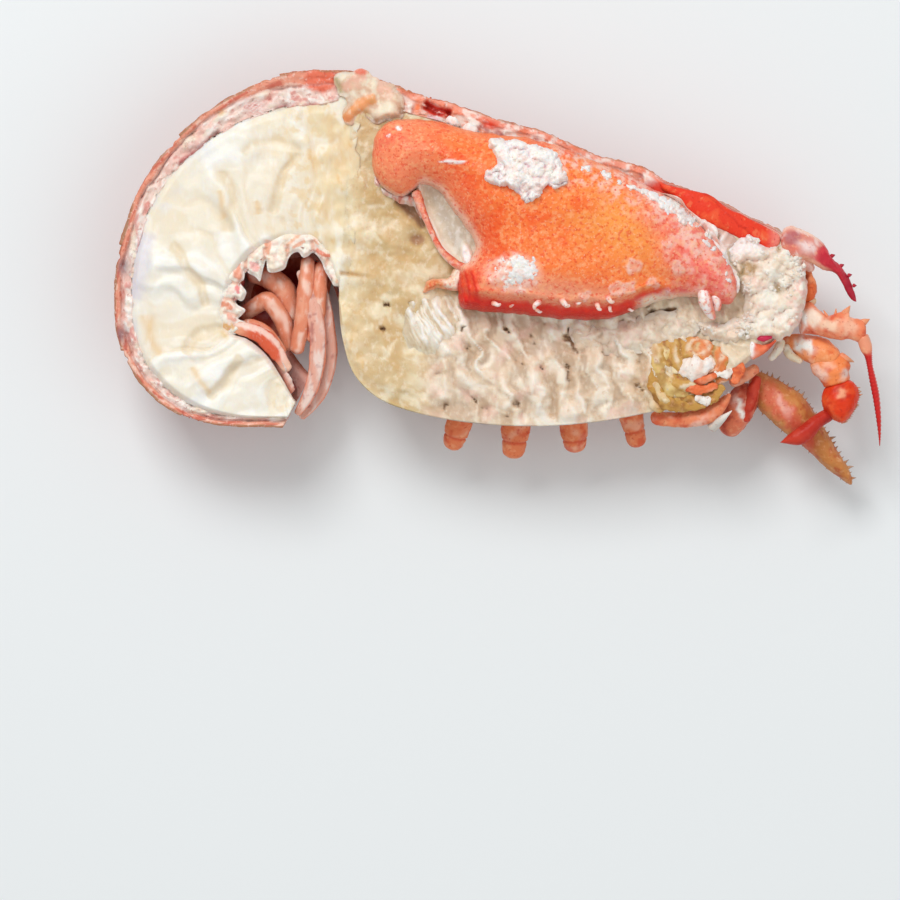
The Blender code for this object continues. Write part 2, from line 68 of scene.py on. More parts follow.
# About how long each half is along its edge, for the patterns that follow it.
STRIP_RUN = 150.0
CLEFT_SPACING = 11.4
BODY_REACH = 2.0
BODY_SWEEP = math.radians(50)
SHELL = 1.8
RIM_FADE = math.radians(55)
TAIL_RINGS = 6
RING_FLARE = 0.45
BELLY_WALL = 2.6

CREAM = (0.9, 0.88, 0.78)
WARM_WHITE = (0.93, 0.91, 0.85)
WHITE = (0.94, 0.92, 0.9)
IVORY = (0.84, 0.76, 0.62)
TAN = (0.78, 0.62, 0.38)
OCHRE = (0.78, 0.48, 0.16)
GOLD = (0.62, 0.36, 0.1)
BROWN = (0.34, 0.17, 0.08)
DARK_BROWN = (0.14, 0.07, 0.04)
BLUISH = (0.74, 0.74, 0.76)
LILAC = (0.66, 0.62, 0.76)
BLUSH = (0.86, 0.66, 0.58)
PINK = (0.84, 0.5, 0.42)
SALMON = (0.8, 0.33, 0.22)
CORAL = (0.92, 0.26, 0.14)
ORANGE = (0.93, 0.22, 0.07)
BRIGHT_RED = (0.8, 0.055, 0.025)
SHELL_RED = (0.62, 0.09, 0.04)
DEEP_RED = (0.4, 0.02, 0.012)
CRIMSON = (0.5, 0.03, 0.06)
WINE = (0.34, 0.05, 0.06)
GREY_PURPLE = (0.2, 0.12, 0.15)


# Noise and shape helpers, all on arrays.

def lattice(x, y, z, seed):
    """A fixed stray value from -1 to 1 for each whole-number place."""
    n = (x * 374761393 + y * 668265263 + z * 1440662683 + seed * 974634777) & 0xFFFFFFFF
    n = ((n ^ (n >> 13)) * 1274126177) & 0xFFFFFFFF
    return ((n ^ (n >> 16)) & 0xFFFFFF) / 0x800000 - 1.0


SLOPES = np.array([(1, 1, 0), (-1, 1, 0), (1, -1, 0), (-1, -1, 0), (1, 0, 1), (-1, 0, 1), (1, 0, -1),
                   (-1, 0, -1), (0, 1, 1), (0, -1, 1), (0, 1, -1), (0, -1, -1)], float)

OCTAVE_TURN = np.array([[0.8, 0.6, 0], [-0.48, 0.64, 0.6], [0.36, -0.48, 0.8]])


def noise(p, size, seed=0):
    """Smooth noise from about -1 to 1 at points (N, 3); size is one number or one for each axis."""
    q = p / np.asarray(size, float) + 0.37
    base = np.floor(q).astype(np.int64)
    f = q - base
    blend = f * f * f * (f * (f * 6 - 15) + 10)
    total = 0
    for corner in range(8):
        step = np.array([corner & 1, corner >> 1 & 1, corner >> 2 & 1])
        slope = SLOPES[((lattice(*(base + step).T, seed) + 1) * 5.999).astype(int)]
        weight = np.where(step, blend, 1 - blend).prod(1)
        total = total + weight * ((f - step) * slope).sum(1)
    return 1.5 * total


def fractal(p, size, octaves=4, seed=0):
    """Noise on noise, each layer half the size of the one before."""
    total = 0
    q = p / np.asarray(size, float)
    for k in range(octaves):
        total = total + noise(q, 1, seed + k) / 2 ** k
        q = 2 * q @ OCTAVE_TURN
    return total / 1.6


def lumps(p, size, seed=0):
    """Height from 0 to 1 of rounded lumps of a size."""
    q = p[:, :2] / size
    base = np.floor(q).astype(np.int64)
    first = np.full(len(p), 9.0)
    for i in (-1, 0, 1):
        for j in (-1, 0, 1):
            cx, cy = base[:, 0] + i, base[:, 1] + j
            sx = cx + 0.5 + 0.45 * lattice(cx, cy, cx * 0, seed)
            sy = cy + 0.5 + 0.45 * lattice(cx, cy, cx * 0 + 7, seed)
            first = np.minimum(first, np.hypot(q[:, 0] - sx, q[:, 1] - sy))
    return np.sqrt(np.clip(1 - first ** 2 * 1.2, 0, 1))


def smooth(x, low, high):
    """0 below low, 1 above high, eased between."""
    t = np.clip((x - low) / (high - low), 0, 1)
    return t * t * (3 - 2 * t)


def spot(x, y, at, wide, high=None, turn=0.0):
    """1 at a place, fading to 0 at about a width away."""
    high = wide if high is None else high
    c, s = math.cos(math.radians(turn)), math.sin(math.radians(turn))
    dx, dy = x - at[0], y - at[1]
    return np.exp(-((dx * c + dy * s) / wide) ** 2 - ((dy * c - dx * s) / high) ** 2)


def path_distance(x, y, path):
    """Distance from each place to a bent line, and the share along it of the nearest point."""
    path = np.asarray(path, float)
    best = np.full(len(x), 1e9)
    share = np.zeros(len(x))
    for k, (a, b) in enumerate(zip(path[:-1], path[1:])):
        run = b - a
        t = np.clip(((x - a[0]) * run[0] + (y - a[1]) * run[1]) / (run @ run), 0, 1)
        away = np.hypot(x - a[0] - run[0] * t, y - a[1] - run[1] * t)
        share = np.where(away < best, (k + t) / (len(path) - 1), share)
        best = np.minimum(best, away)
    return best, share


def streak(x, y, path, wide):
    """1 on a bent line, fading over its width and at its two ends."""
    away, share = path_distance(x, y, path)
    return np.exp(-(away / wide) ** 2) * smooth(share * (1 - share), 0.0, 0.08)


def tinted(base, colour, mask):
    """Colours moved towards one colour where the mask is 1."""
    return base + (np.asarray(colour) - base) * np.clip(mask, 0, 1)[:, None]


def curve(points, share):
    """Places on the Catmull-Rom curve through points, at shares from 0 to 1."""
    points = np.asarray(points, float)
    if points.ndim == 1:
        return curve(points[:, None], share)[..., 0]
    last = len(points) - 1
    at = np.clip(share, 0, 1) * last
    k = np.minimum(at.astype(int), last - 1)
    t = (at - k)[..., None]
    a, b, c, d = (points[np.clip(k + i, 0, last)] for i in (-1, 0, 1, 2))
    return 0.5 * (2 * b + (c - a) * t + (2 * a - 5 * b + 4 * c - d) * t ** 2
                  + (3 * b - a - 3 * c + d) * t ** 3)


def count(n):
    return max(4, int(n * FINE))


def flat(x, y):
    """Places on the level plane."""
    return np.stack([x, y, np.zeros_like(x)], -1)


def plain(colour, amount):
    """One colour for an amount of places."""
    return np.broadcast_to(colour, (amount, 3)).copy()


def painted(tint, *layers):
    """A colour under layers of (colour, mask)."""
    for colour, mask in layers:
        tint = tinted(tint, colour, mask)
    return tint


def coat(places, colour, *layers):
    """One colour for each place, under layers of (colour, mask)."""
    return painted(plain(colour, len(places)), *layers)


def patches(p, size, octaves, seed, low, high):
    """0 to 1, where layered noise of a size rises from low to high."""
    return smooth(fractal(p, size, octaves, seed), low, high)


def pillows(p, size, seed):
    """Rounded pads from 0 to 1 with creases between them."""
    return np.abs(noise(p, size, seed)) ** 0.55


def pads(p, size, seed):
    """Rounded pads on pads, from 0 to 1, as set protein lies."""
    return (0.62 * pillows(p, size, seed) + 0.28 * pillows(p, size * 0.45, seed + 1)
            + 0.1 * pillows(p, size * 0.2, seed + 2))


def ridged(p, size, seed):
    """Sharp crests with soft hollows between, as crumpled skin lies, from 0 to 1."""
    coarse = 1 - np.minimum(np.abs(noise(p, size, seed)) * 2.2, 1)
    fine = 1 - np.minimum(np.abs(noise(p, np.array(size) * 0.45, seed + 1)) * 2.2, 1)
    return 0.7 * coarse + 0.3 * fine * coarse


# Shapes are (points, faces, colours): points in millimetres, faces as arrays of quads or triangles.

def shape(points, faces, tint):
    """A closed shape with its faces turned outwards."""
    points = np.asarray(points, float).reshape(-1, 3)
    volume = 0.0
    for f in faces:
        for k in range(1, f.shape[1] - 1):
            fan = np.cross(points[f[:, k]], points[f[:, k + 1]])
            volume += np.einsum("ij,ij->", points[f[:, 0]], fan)
    if volume < 0:
        faces = [f[:, ::-1] for f in faces]
    return points, faces, np.broadcast_to(tint, (len(points), 3))


def joined(shapes):
    points, faces, tints = [], [], []
    start = 0
    for spots, polygons, tint in shapes:
        points.append(spots)
        faces += [f + start for f in polygons]
        tints.append(tint)
        start += len(spots)
    return np.concatenate(points), faces, np.concatenate(tints)


def mesh_of(name, form, scale):
    points, faces, tint = form
    mesh = bpy.data.meshes.new(name)
    corners = np.concatenate([f.ravel() for f in faces]).astype(np.int32)
    sizes = np.concatenate([np.full(len(f), f.shape[1], np.int32) for f in faces])
    starts = np.concatenate([[0], np.cumsum(sizes)[:-1]]).astype(np.int32)
    mesh.vertices.add(len(points))
    mesh.vertices.foreach_set("co", (points * scale).astype(np.float32).ravel())
    mesh.loops.add(len(corners))
    mesh.loops.foreach_set("vertex_index", corners)
    mesh.polygons.add(len(sizes))
    mesh.polygons.foreach_set("loop_start", starts)
    mesh.update(calc_edges=True)
    mesh.validate()
    layer = mesh.color_attributes.new("tint", "FLOAT_COLOR", "POINT")
    shade = np.ones((len(points), 4), np.float32)
    shade[:, :3] = np.clip(tint, 0, 1)
    layer.data.foreach_set("color", shade.ravel())
    mesh.shade_smooth()
    return mesh


def piece(name, form, finish, *nodes):
    """A finished piece of the lobster that stands for CAD nodes."""
    mesh = mesh_of(name, form, MM)
    mesh.materials.append(finish)
    made = bpy.data.objects.new(name, mesh)
    bpy.context.collection.objects.link(made)
    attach(made, "root")
    if nodes:
        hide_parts(*nodes)
    return made


def ring_faces(rows, size):
    """Quads between rows of points, and the two end caps."""
    r, k = np.meshgrid(np.arange(rows - 1), np.arange(size), indexing="ij")
    n = (k + 1) % size
    quads = np.stack([r * size + k, r * size + n, (r + 1) * size + n, (r + 1) * size + k], -1)
    ends = [np.arange(size)[None, ::-1], np.arange((rows - 1) * size, rows * size)[None]]
    return [quads.reshape(-1, 4), *ends]


def sheet(grid, thick, tint):
    """A thin closed sheet round a grid of points (rows, columns, 3)."""
    face = np.cross(np.gradient(grid, axis=0), np.gradient(grid, axis=1))
    face = face / (np.linalg.norm(face, axis=-1, keepdims=True) + 1e-9)
    rows, columns = grid.shape[:2]
    spots = np.concatenate([(grid + face * thick / 2).reshape(-1, 3),
                            (grid - face * thick / 2).reshape(-1, 3)])
    k = np.arange(rows * columns).reshape(rows, columns)
    quads = np.stack([k[:-1, :-1], k[1:, :-1], k[1:, 1:], k[:-1, 1:]], -1).reshape(-1, 4)
    edge = np.concatenate([k[:-1, 0], k[-1, :-1], k[:0:-1, -1], k[0, :0:-1]])
    after = np.roll(edge, -1)
    sides = np.stack([after, edge, edge + k.size, after + k.size], -1)
    colours = np.broadcast_to(tint, (k.size, 3))
    return shape(spots, [quads, quads[:, ::-1] + k.size, sides], np.concatenate([colours] * 2))


def limb(path, radii, paint, around=44, along=130, squash=1.0):
    """A limb with rounded ends along a curve. paint(p, share, turn) gives relief and colours."""
    along, around = count(along), count(around)
    t = np.linspace(0, 1, along)
    t = 0.6 * t + 0.4 * (1 - np.cos(math.pi * t)) / 2
    middle = curve(path, t)
    radius = curve(radii, t)
    run = np.concatenate([[0], np.cumsum(np.linalg.norm(np.diff(middle, axis=0), axis=1))])
    for reach, cap in ((run, radii[0]), (run[-1] - run, radii[-1])):
        inside = np.clip(1 - reach / (0.8 * cap), 0, 0.995)
        radius = radius * np.sqrt(1 - inside ** 2)
    ahead = np.gradient(middle, axis=0)
    ahead /= np.linalg.norm(ahead, axis=1, keepdims=True)
    side = np.cross(ahead, (0, 0, 1))
    side /= np.linalg.norm(side, axis=1, keepdims=True)
    up = np.cross(side, ahead)
    turn = np.linspace(0, math.tau, around, endpoint=False)
    out = (side[:, None] * np.cos(turn)[None, :, None]
           + up[:, None] * squash * np.sin(turn)[None, :, None])
    skin = middle[:, None] + out * radius[:, None, None]
    size = skin.shape[:2]
    rise, tint = paint(skin.reshape(-1, 3), np.broadcast_to(t[:, None], size).ravel(),
                       np.broadcast_to(turn, size).ravel())
    fade = np.minimum(radius / max(radii), 1)[:, None, None]
    skin = skin + out * np.reshape(rise, size)[..., None] * fade
    return shape(skin, ring_faces(*size), tint)


def blade(top, low, height, deep, paint, around=40, along=110, ends=(0.1, 0.1)):
    """A limb between two edges seen from above, its middle at heights, deep above and below it.
    Its ends are rounded over shares of its length; paint is as for limb."""
    along, around = count(along), count(around)
    t = np.linspace(0, 1, along)
    a, b = curve(top, t), curve(low, t)
    wide = np.ones(along)
    for share, part in ((t, ends[0]), (1 - t, ends[1])):
        wide *= np.sqrt(1 - np.clip(1 - share / part, 0, 0.995) ** 2)
    middle = np.column_stack([(a + b) / 2, curve(height, t)])
    side = np.column_stack([(a - b) / 2 * wide[:, None], np.zeros(along)])
    up = np.column_stack([np.zeros((along, 2)), curve(deep, t) * wide])
    turn = np.linspace(0, math.tau, around, endpoint=False)
    out = side[:, None] * np.cos(turn)[None, :, None] + up[:, None] * np.sin(turn)[None, :, None]
    skin = middle[:, None] + out
    size = skin.shape[:2]
    rise, tint = paint(skin.reshape(-1, 3), np.broadcast_to(t[:, None], size).ravel(),
                       np.broadcast_to(turn, size).ravel())
    out = out / (np.linalg.norm(out, axis=-1, keepdims=True) + 0.3)
    skin = skin + out * np.reshape(rise, size)[..., None]
    return shape(skin, ring_faces(*size), tint)


def thorn(foot, tip, wide, root, point):
    """One sharp thorn between two places."""
    foot, tip = np.array(foot, float), np.array(tip, float)
    middle = (foot + tip) / 2 + (0, 0, 0.12 * np.linalg.norm(tip - foot))

    def paint(p, share, turn):
        return 0 * share, coat(p, root, (point, smooth(share, 0.3, 1)))

    return limb([foot, middle, tip], [wide, 0.62 * wide, 0.08], paint, 16, 24)


# Growing small things over a surface or along a line, with Geometry Nodes in millimetres.

class Tree:
    """A node tree and what adds its nodes."""

    def __init__(self, tree):
        self.tree = tree

    def put(self, socket, value):
        """Links another socket to a socket, or sets its value."""
        if isinstance(value, bpy.types.NodeSocket):
            self.tree.links.new(value, socket)
        else:
            socket.default_value = value

    def node(self, kind, settings=(), **inputs):
        """Adds a node; an input is named, or numbered as in i2, and takes a socket or a value."""
        made = self.tree.nodes.new(kind)
        for name, value in dict(settings).items():
            setattr(made, name, value)
        for name, value in inputs.items():
            number = name[0] == "i" and name[1:].isdigit()
            self.put(made.inputs[int(name[1:]) if number else name.replace("_", " ")], value)
        return made


class Growth(Tree):
    """A Geometry Nodes tree with named inputs for its sizes."""

    def __init__(self, name, **sizes):
        super().__init__(bpy.data.node_groups.new(name, "GeometryNodeTree"))
        sockets = self.tree.interface
        sockets.new_socket("Host", in_out="INPUT", socket_type="NodeSocketGeometry")
        for label, kind in sizes.items():
            sockets.new_socket(label.replace("_", " "), in_out="INPUT", socket_type="NodeSocket" + kind)
        sockets.new_socket("Grown", in_out="OUTPUT", socket_type="NodeSocketGeometry")
        self.given = self.tree.nodes.new("NodeGroupInput").outputs

    def attribute(self, name, kind="FLOAT"):
        return self.node("GeometryNodeInputNamedAttribute", {"data_type": kind}, Name=name).outputs[0]

    def random(self, low, high, seed):
        return self.node("FunctionNodeRandomValue", {"data_type": "FLOAT"}, i2=low, i3=high,
                         Seed=seed).outputs[1]

    def scaled(self, vector, factor):
        return self.node("ShaderNodeVectorMath", {"operation": "SCALE"}, i0=vector,
                         Scale=factor).outputs[0]

    def summed(self, vector, other):
        return self.node("ShaderNodeVectorMath", {"operation": "ADD"}, i0=vector, i1=other).outputs[0]

    def end(self, geometry):
        real = self.node("GeometryNodeRealizeInstances", Geometry=geometry).outputs[0]
        last = self.node("GeometryNodeSetMaterial", Geometry=real,
                         Material=self.given["Finish"]).outputs[0]
        out = self.tree.nodes.new("NodeGroupOutput")
        self.tree.links.new(last, out.inputs[0])
        return self.tree

    def set_shapes(self, points, facing, size):
        """Sets the shape on points, its Z along the facing with a random lean and turn."""
        given = self.given
        stray = self.node("FunctionNodeRandomValue", {"data_type": "FLOAT_VECTOR"}, i0=(-1, -1, -1),
                          i1=(1, 1, 1), Seed=given["Seed"]).outputs[0]
        facing = self.summed(facing, self.scaled(stray, given["Lean"]))
        upright = self.node("FunctionNodeAlignRotationToVector", {"axis": "Z"}, Vector=facing).outputs[0]
        angle = self.node("ShaderNodeCombineXYZ", Z=self.random(0.0, given["Turn"], 7)).outputs[0]
        turned = self.node("FunctionNodeRotateRotation", {"rotation_space": "LOCAL"}, Rotation=upright,
                           Rotate_By=self.node("FunctionNodeEulerToRotation", Euler=angle).outputs[0])
        form = self.node("GeometryNodeObjectInfo", Object=given["Shape"]).outputs["Geometry"]
        return self.end(self.node("GeometryNodeInstanceOnPoints", Points=points, Instance=form,
                                  Rotation=turned.outputs[0], Scale=size).outputs[0])


def scatter_tree():
    """Shapes scattered over the host's faces, as dense as the host's "grow" says."""
    made = Growth(
        "scattered over a surface", Shape="Object", Per_Area="Float", Gap="Float", Smallest="Float",
        Largest="Float", Lean="Float", Turn="Float", Seed="Int", Finish="Material")
    given = made.given
    spread = made.node(
        "GeometryNodeDistributePointsOnFaces", {"distribute_method": "POISSON"}, Mesh=given["Host"],
        Distance_Min=given["Gap"], Density_Max=given["Per Area"], Density_Factor=made.attribute("grow"),
        Seed=given["Seed"])
    size = made.random(given["Smallest"], given["Largest"], 3)
    return made.set_shapes(spread.outputs["Points"], spread.outputs["Normal"], size)


def row_tree():
    """Shapes in a row along the host's lines, facing and sized as its attributes say."""
    made = Growth("in a row along a line", Shape="Object", Spacing="Float", Smallest="Float",
                  Largest="Float", Lean="Float", Turn="Float", Seed="Int", Finish="Material")
    given = made.given
    line = made.node("GeometryNodeMeshToCurve", Mesh=given["Host"]).outputs[0]
    dots = made.node("GeometryNodeResampleCurve", {"mode": "LENGTH"}, Curve=line,
                     Length=given["Spacing"]).outputs[0]
    size = made.random(given["Smallest"], given["Largest"], 3)
    size = made.node("ShaderNodeMath", {"operation": "MULTIPLY"}, i0=size,
                     i1=made.attribute("grow")).outputs[0]
    return made.set_shapes(dots, made.attribute("facing", "FLOAT_VECTOR"), size)


def crumb_tree():
    """Grains heaped on the host's faces and run together into one lumpy crust."""
    made = Growth("crumbs run together", Per_Area="Float", Depth="Float", Smallest="Float",
                  Largest="Float", Fineness="Float", Seed="Int", Finish="Material")
    given = made.given
    spread = made.node(
        "GeometryNodeDistributePointsOnFaces", {"distribute_method": "POISSON"}, Mesh=given["Host"],
        Distance_Min=0.1, Density_Max=given["Per Area"], Density_Factor=made.attribute("grow"),
        Seed=given["Seed"])
    lift = made.scaled(spread.outputs["Normal"], made.random(0.0, given["Depth"], 5))
    heap = made.node("GeometryNodeSetPosition", Geometry=spread.outputs["Points"], Offset=lift).outputs[0]
    grain = made.random(given["Smallest"], given["Largest"], 6)
    cloud = made.node("GeometryNodePointsToVolume", {"resolution_mode": "VOXEL_SIZE"}, Points=heap,
                      Voxel_Size=given["Fineness"], Radius=grain).outputs[0]
    skin = made.node("GeometryNodeVolumeToMesh", {"resolution_mode": "VOXEL_SIZE"}, Volume=cloud,
                     Voxel_Size=given["Fineness"], Threshold=0.1).outputs[0]
    return made.end(skin)


def grown(tree, host, finish, small=None, **sizes):
    """The plain shape that a tree makes from a host: (points, faces, attributes)."""
    points, faces, attributes = host
    mesh = bpy.data.meshes.new("host")
    if isinstance(faces, np.ndarray):
        mesh.from_pydata(points.tolist(), faces.tolist(), [])
    else:
        mesh.from_pydata(points.tolist(), [], [f for group in faces for f in group.tolist()])
    for name, values in attributes.items():
        kind, key = ("FLOAT", "value") if np.ndim(values) == 1 else ("FLOAT_VECTOR", "vector")
        layer = mesh.attributes.new(name, kind, "POINT")
        layer.data.foreach_set(key, np.asarray(values, np.float32).ravel())
    bed = bpy.data.objects.new("host", mesh)
    bpy.context.collection.objects.link(bed)
    sizes["Finish"] = finish
    if small:
        sizes["Shape"] = bpy.data.objects.new("small shape", mesh_of("small shape", small, 1))
        bpy.context.collection.objects.link(sizes["Shape"])
    grow = bed.modifiers.new("grow", "NODES")
    grow.node_group = tree
    for socket in tree.interface.items_tree:
        label = socket.name.replace(" ", "_")
        if socket.in_out == "INPUT" and label in sizes:
            grow[socket.identifier] = sizes[label]
    graph = bpy.context.evaluated_depsgraph_get()
    result = bpy.data.meshes.new_from_object(bed.evaluated_get(graph))
    form = read_mesh(result)
    bed.modifiers.remove(grow)
    for used in (bed, sizes.get("Shape")):
        if used:
            bpy.data.objects.remove(used)
    bpy.data.meshes.remove(result)
    return form


def read_mesh(mesh):
    """(points, faces, colours) of a mesh, with white where it has no "tint"."""
    amount = len(mesh.vertices)
    points = np.empty(amount * 3, np.float32)
    mesh.vertices.foreach_get("co", points)
    sizes = np.empty(len(mesh.polygons), np.int32)
    starts = np.empty(len(mesh.polygons), np.int32)
    corners = np.empty(len(mesh.loops), np.int32)
    mesh.polygons.foreach_get("loop_total", sizes)
    mesh.polygons.foreach_get("loop_start", starts)
    mesh.loops.foreach_get("vertex_index", corners)
    faces = [corners[starts[sizes == n][:, None] + np.arange(n)] for n in np.unique(sizes)]
    tint = np.ones(amount * 4, np.float32)
    if "tint" in mesh.attributes:
        mesh.attributes["tint"].data.foreach_get("color", tint)
    return points.reshape(-1, 3).astype(float), faces, tint.reshape(-1, 4)[:, :3].astype(float)


SCATTER = scatter_tree()
ROW = row_tree()
CRUMBS = crumb_tree()


# Finishes.

class Finish(Tree):
    """Builds one material's nodes from the tint attribute and patterns on Object coordinates."""

    def __init__(self, name):
        self.material = bpy.data.materials.new(name)
        self.material.use_nodes = True
        super().__init__(self.material.node_tree)
        self.shader = self.tree.nodes["Principled BSDF"]
        self.place = self.node("ShaderNodeTexCoord").outputs["Object"]
        self.colour = self.node("ShaderNodeAttribute", {"attribute_name": "tint"}).outputs["Color"]
        self.height = None
        split = self.node("ShaderNodeSeparateColor", Color=self.colour)
        self.bright = self.band(split.outputs["Green"], 0.05, 0.20)

    def stretched(self, sizes):
        """Object coordinates divided by a pattern's sizes in millimetres."""
        scale = [1 / (s * MM) for s in sizes]
        return self.node("ShaderNodeMapping", Vector=self.place, Scale=scale).outputs[0]

    def cloud(self, size, detail=3.0, rough=0.55):
        """Noise with features of a size in millimetres, one number or three."""
        sizes = size if isinstance(size, tuple) else (size,) * 3
        return self.node("ShaderNodeTexNoise", Vector=self.stretched(sizes), Scale=1.0, Detail=detail,
                         Roughness=rough).outputs["Fac"]

    def grains(self, size):
        return self.node("ShaderNodeTexVoronoi", Vector=self.stretched((size,) * 3),
                         Scale=1.0).outputs["Distance"]

    def band(self, value, low, high):
        """0 below low and 1 above high."""
        return self.node("ShaderNodeMapRange", {"interpolation_type": "SMOOTHSTEP"}, Value=value,
                         From_Min=low, From_Max=high).outputs["Result"]

    def times(self, value, factor):
        return self.node("ShaderNodeMath", {"operation": "MULTIPLY"}, i0=value, i1=factor).outputs[0]

    def add(self, value, other):
        return self.node("ShaderNodeMath", {"operation": "ADD"}, i0=value, i1=other).outputs[0]

    def mix(self, colour, mask):
        """Blends a colour over the present one where the mask is 1."""
        self.colour = self.node("ShaderNodeMix", {"data_type": "RGBA"}, i0=mask, i6=self.colour,
                                i7=(*colour, 1)).outputs[2]

    def cloudy(self, colour, mask, share, bright=False):
        """Lays a colour where the mask says; if bright, it spares the deepest reds."""
        mask = self.times(mask, share)
        self.mix(colour, self.times(mask, self.bright) if bright else mask)

    def relief(self, value, depth):
        """Adds a height pattern of a depth in millimetres."""
        scaled = self.times(value, depth * MM)
        self.height = scaled if self.height is None else self.add(self.height, scaled)

    def done(self, rough=(0.35, 0.55), glow=0.0, depth=(2.0, 1.2, 0.8), coat=0.0, spec=0.3):
        """Links the patterns to the shader; glow is the share of light that sinks in."""
        wet = self.node("ShaderNodeMapRange", Value=self.cloud(3.0), From_Min=0.3, From_Max=0.7,
                        To_Min=rough[0], To_Max=rough[1])
        looks = {"Base Color": self.colour, "Roughness": wet.outputs["Result"], "Subsurface Weight": glow,
                 "Subsurface Radius": depth, "Subsurface Scale": MM, "Coat Weight": coat,
                 "Coat Roughness": 0.25, "Specular IOR Level": spec}
        if self.height is not None:
            looks["Normal"] = self.node("ShaderNodeBump", Height=self.height,
                                        Distance=1.0).outputs["Normal"]
        for name, value in looks.items():
            self.put(self.shader.inputs[name], value)
        return self.material


def meat_finish():
    """Moist white tail meat with faint fibres."""
    made = Finish("tail meat")
    made.cloudy((0.97, 0.95, 0.9), made.band(made.cloud((2.5, 6, 4)), 0.5, 0.75), 0.4)
    made.cloudy((0.88, 0.76, 0.56), made.band(made.cloud(5.0), 0.55, 0.8), 0.22)
    made.relief(made.cloud((0.6, 2.6, 1.6)), 0.08)
    return made.done(rough=(0.34, 0.55), glow=0.3, depth=(2.6, 2.0, 1.3))


def flesh_finish():
    """Soft moist body flesh, faintly clouded."""
    made = Finish("body flesh")
    made.cloudy((0.95, 0.87, 0.72), made.band(made.cloud((1.6, 2.4, 2.0), 5), 0.5, 0.68), 0.35)
    made.cloudy((0.58, 0.33, 0.14), made.band(made.cloud(2.2, 6, 0.62), 0.54, 0.74), 0.45)
    made.relief(made.cloud(1.4, 4), 0.22)
    made.relief(made.cloud(0.4), 0.05)
    return made.done(rough=(0.26, 0.48), glow=0.25, depth=(2.6, 1.7, 1.1), spec=0.35)


def rim_finish():
    """The shell and the layers at its cut rim."""
    made = Finish("cut shell")
    made.cloudy((0.96, 0.82, 0.74), made.band(made.cloud(0.9, 5), 0.56, 0.7), 0.4, True)
    made.cloudy((0.46, 0.05, 0.03), made.band(made.cloud(1.3, 5), 0.56, 0.72), 0.5)
    made.relief(made.cloud(0.8), 0.14)
    made.relief(made.cloud(0.25), 0.05)
    return made.done(rough=(0.28, 0.5), glow=0.1, depth=(1.4, 0.8, 0.5), coat=0.05, spec=0.3)


def claw_finish():
    """Orange-red claw shell with fine pale mottles, squiggles and dark dots."""
    made = Finish("claw shell")
    made.cloudy((1.0, 0.5, 0.24), made.band(made.cloud(1.3, 3, 0.55), 0.48, 0.64), 0.42, True)
    made.cloudy((0.8, 0.05, 0.01), made.band(made.cloud(1.1, 3, 0.5), 0.52, 0.68), 0.6)
    made.cloudy((1.0, 0.74, 0.56), made.band(made.cloud(0.6, 3), 0.6, 0.72), 0.4, True)
    dots = made.times(made.band(made.grains(1.1), 0.36, 0.1), made.band(made.cloud(3.0), 0.46, 0.62))
    made.cloudy((0.6, 0.03, 0.01), dots, 0.5)
    made.relief(made.grains(0.9), 0.1)
    made.relief(made.cloud(0.4), 0.09)
    return made.done(rough=(0.26, 0.46), glow=0.04, depth=(1.2, 0.5, 0.3), coat=0.06, spec=0.2)


def curd_finish():
    """Set white protein: lumpy, moist, faintly pink."""
    made = Finish("white curd")
    made.cloudy((0.97, 0.94, 0.9), made.band(made.cloud(1.4), 0.5, 0.7), 0.4)
    made.cloudy((0.86, 0.58, 0.47), made.band(made.cloud(2.6, 4), 0.56, 0.76), 0.4)
    made.relief(made.cloud(0.7, 4), 0.14)
    return made.done(rough=(0.3, 0.5), glow=0.35, depth=(2.4, 1.7, 1.3), spec=0.35)


def limb_finish():
    """Orange limb shell with fine dark pits."""
    made = Finish("limb shell")
    made.cloudy((1.0, 0.55, 0.3), made.band(made.cloud(1.6, 5), 0.54, 0.68), 0.3, True)
    made.cloudy((0.45, 0.02, 0.01), made.band(made.cloud(1.0, 5), 0.58, 0.72), 0.5)
    made.relief(made.grains(0.8), 0.08)
    made.relief(made.cloud(0.5), 0.12)
    return made.done(rough=(0.3, 0.5), glow=0.03, depth=(1.4, 0.7, 0.4), coat=0.05, spec=0.18)


def skin_finish():
    """Thin wet belly skin, pink to dark red."""
    made = Finish("belly skin")
    made.cloudy((0.93, 0.8, 0.74), made.band(made.cloud((0.8, 2.2, 1.4)), 0.56, 0.76), 0.35, True)
    made.cloudy((0.4, 0.04, 0.02), made.band(made.cloud(1.1), 0.6, 0.8), 0.3)
    made.relief(made.cloud((0.5, 1.6, 1.0)), 0.12)
    return made.done(rough=(0.22, 0.45), glow=0.15, depth=(1.6, 0.8, 0.6), coat=0.1)


MEAT = meat_finish()
FLESH = flesh_finish()
RIM = rim_finish()
CLAW = claw_finish()
WHITE_CURD = curd_finish()
LIMB = limb_finish()
SKIN = skin_finish()


# The two halves of the body: shapes between their back and belly edges.

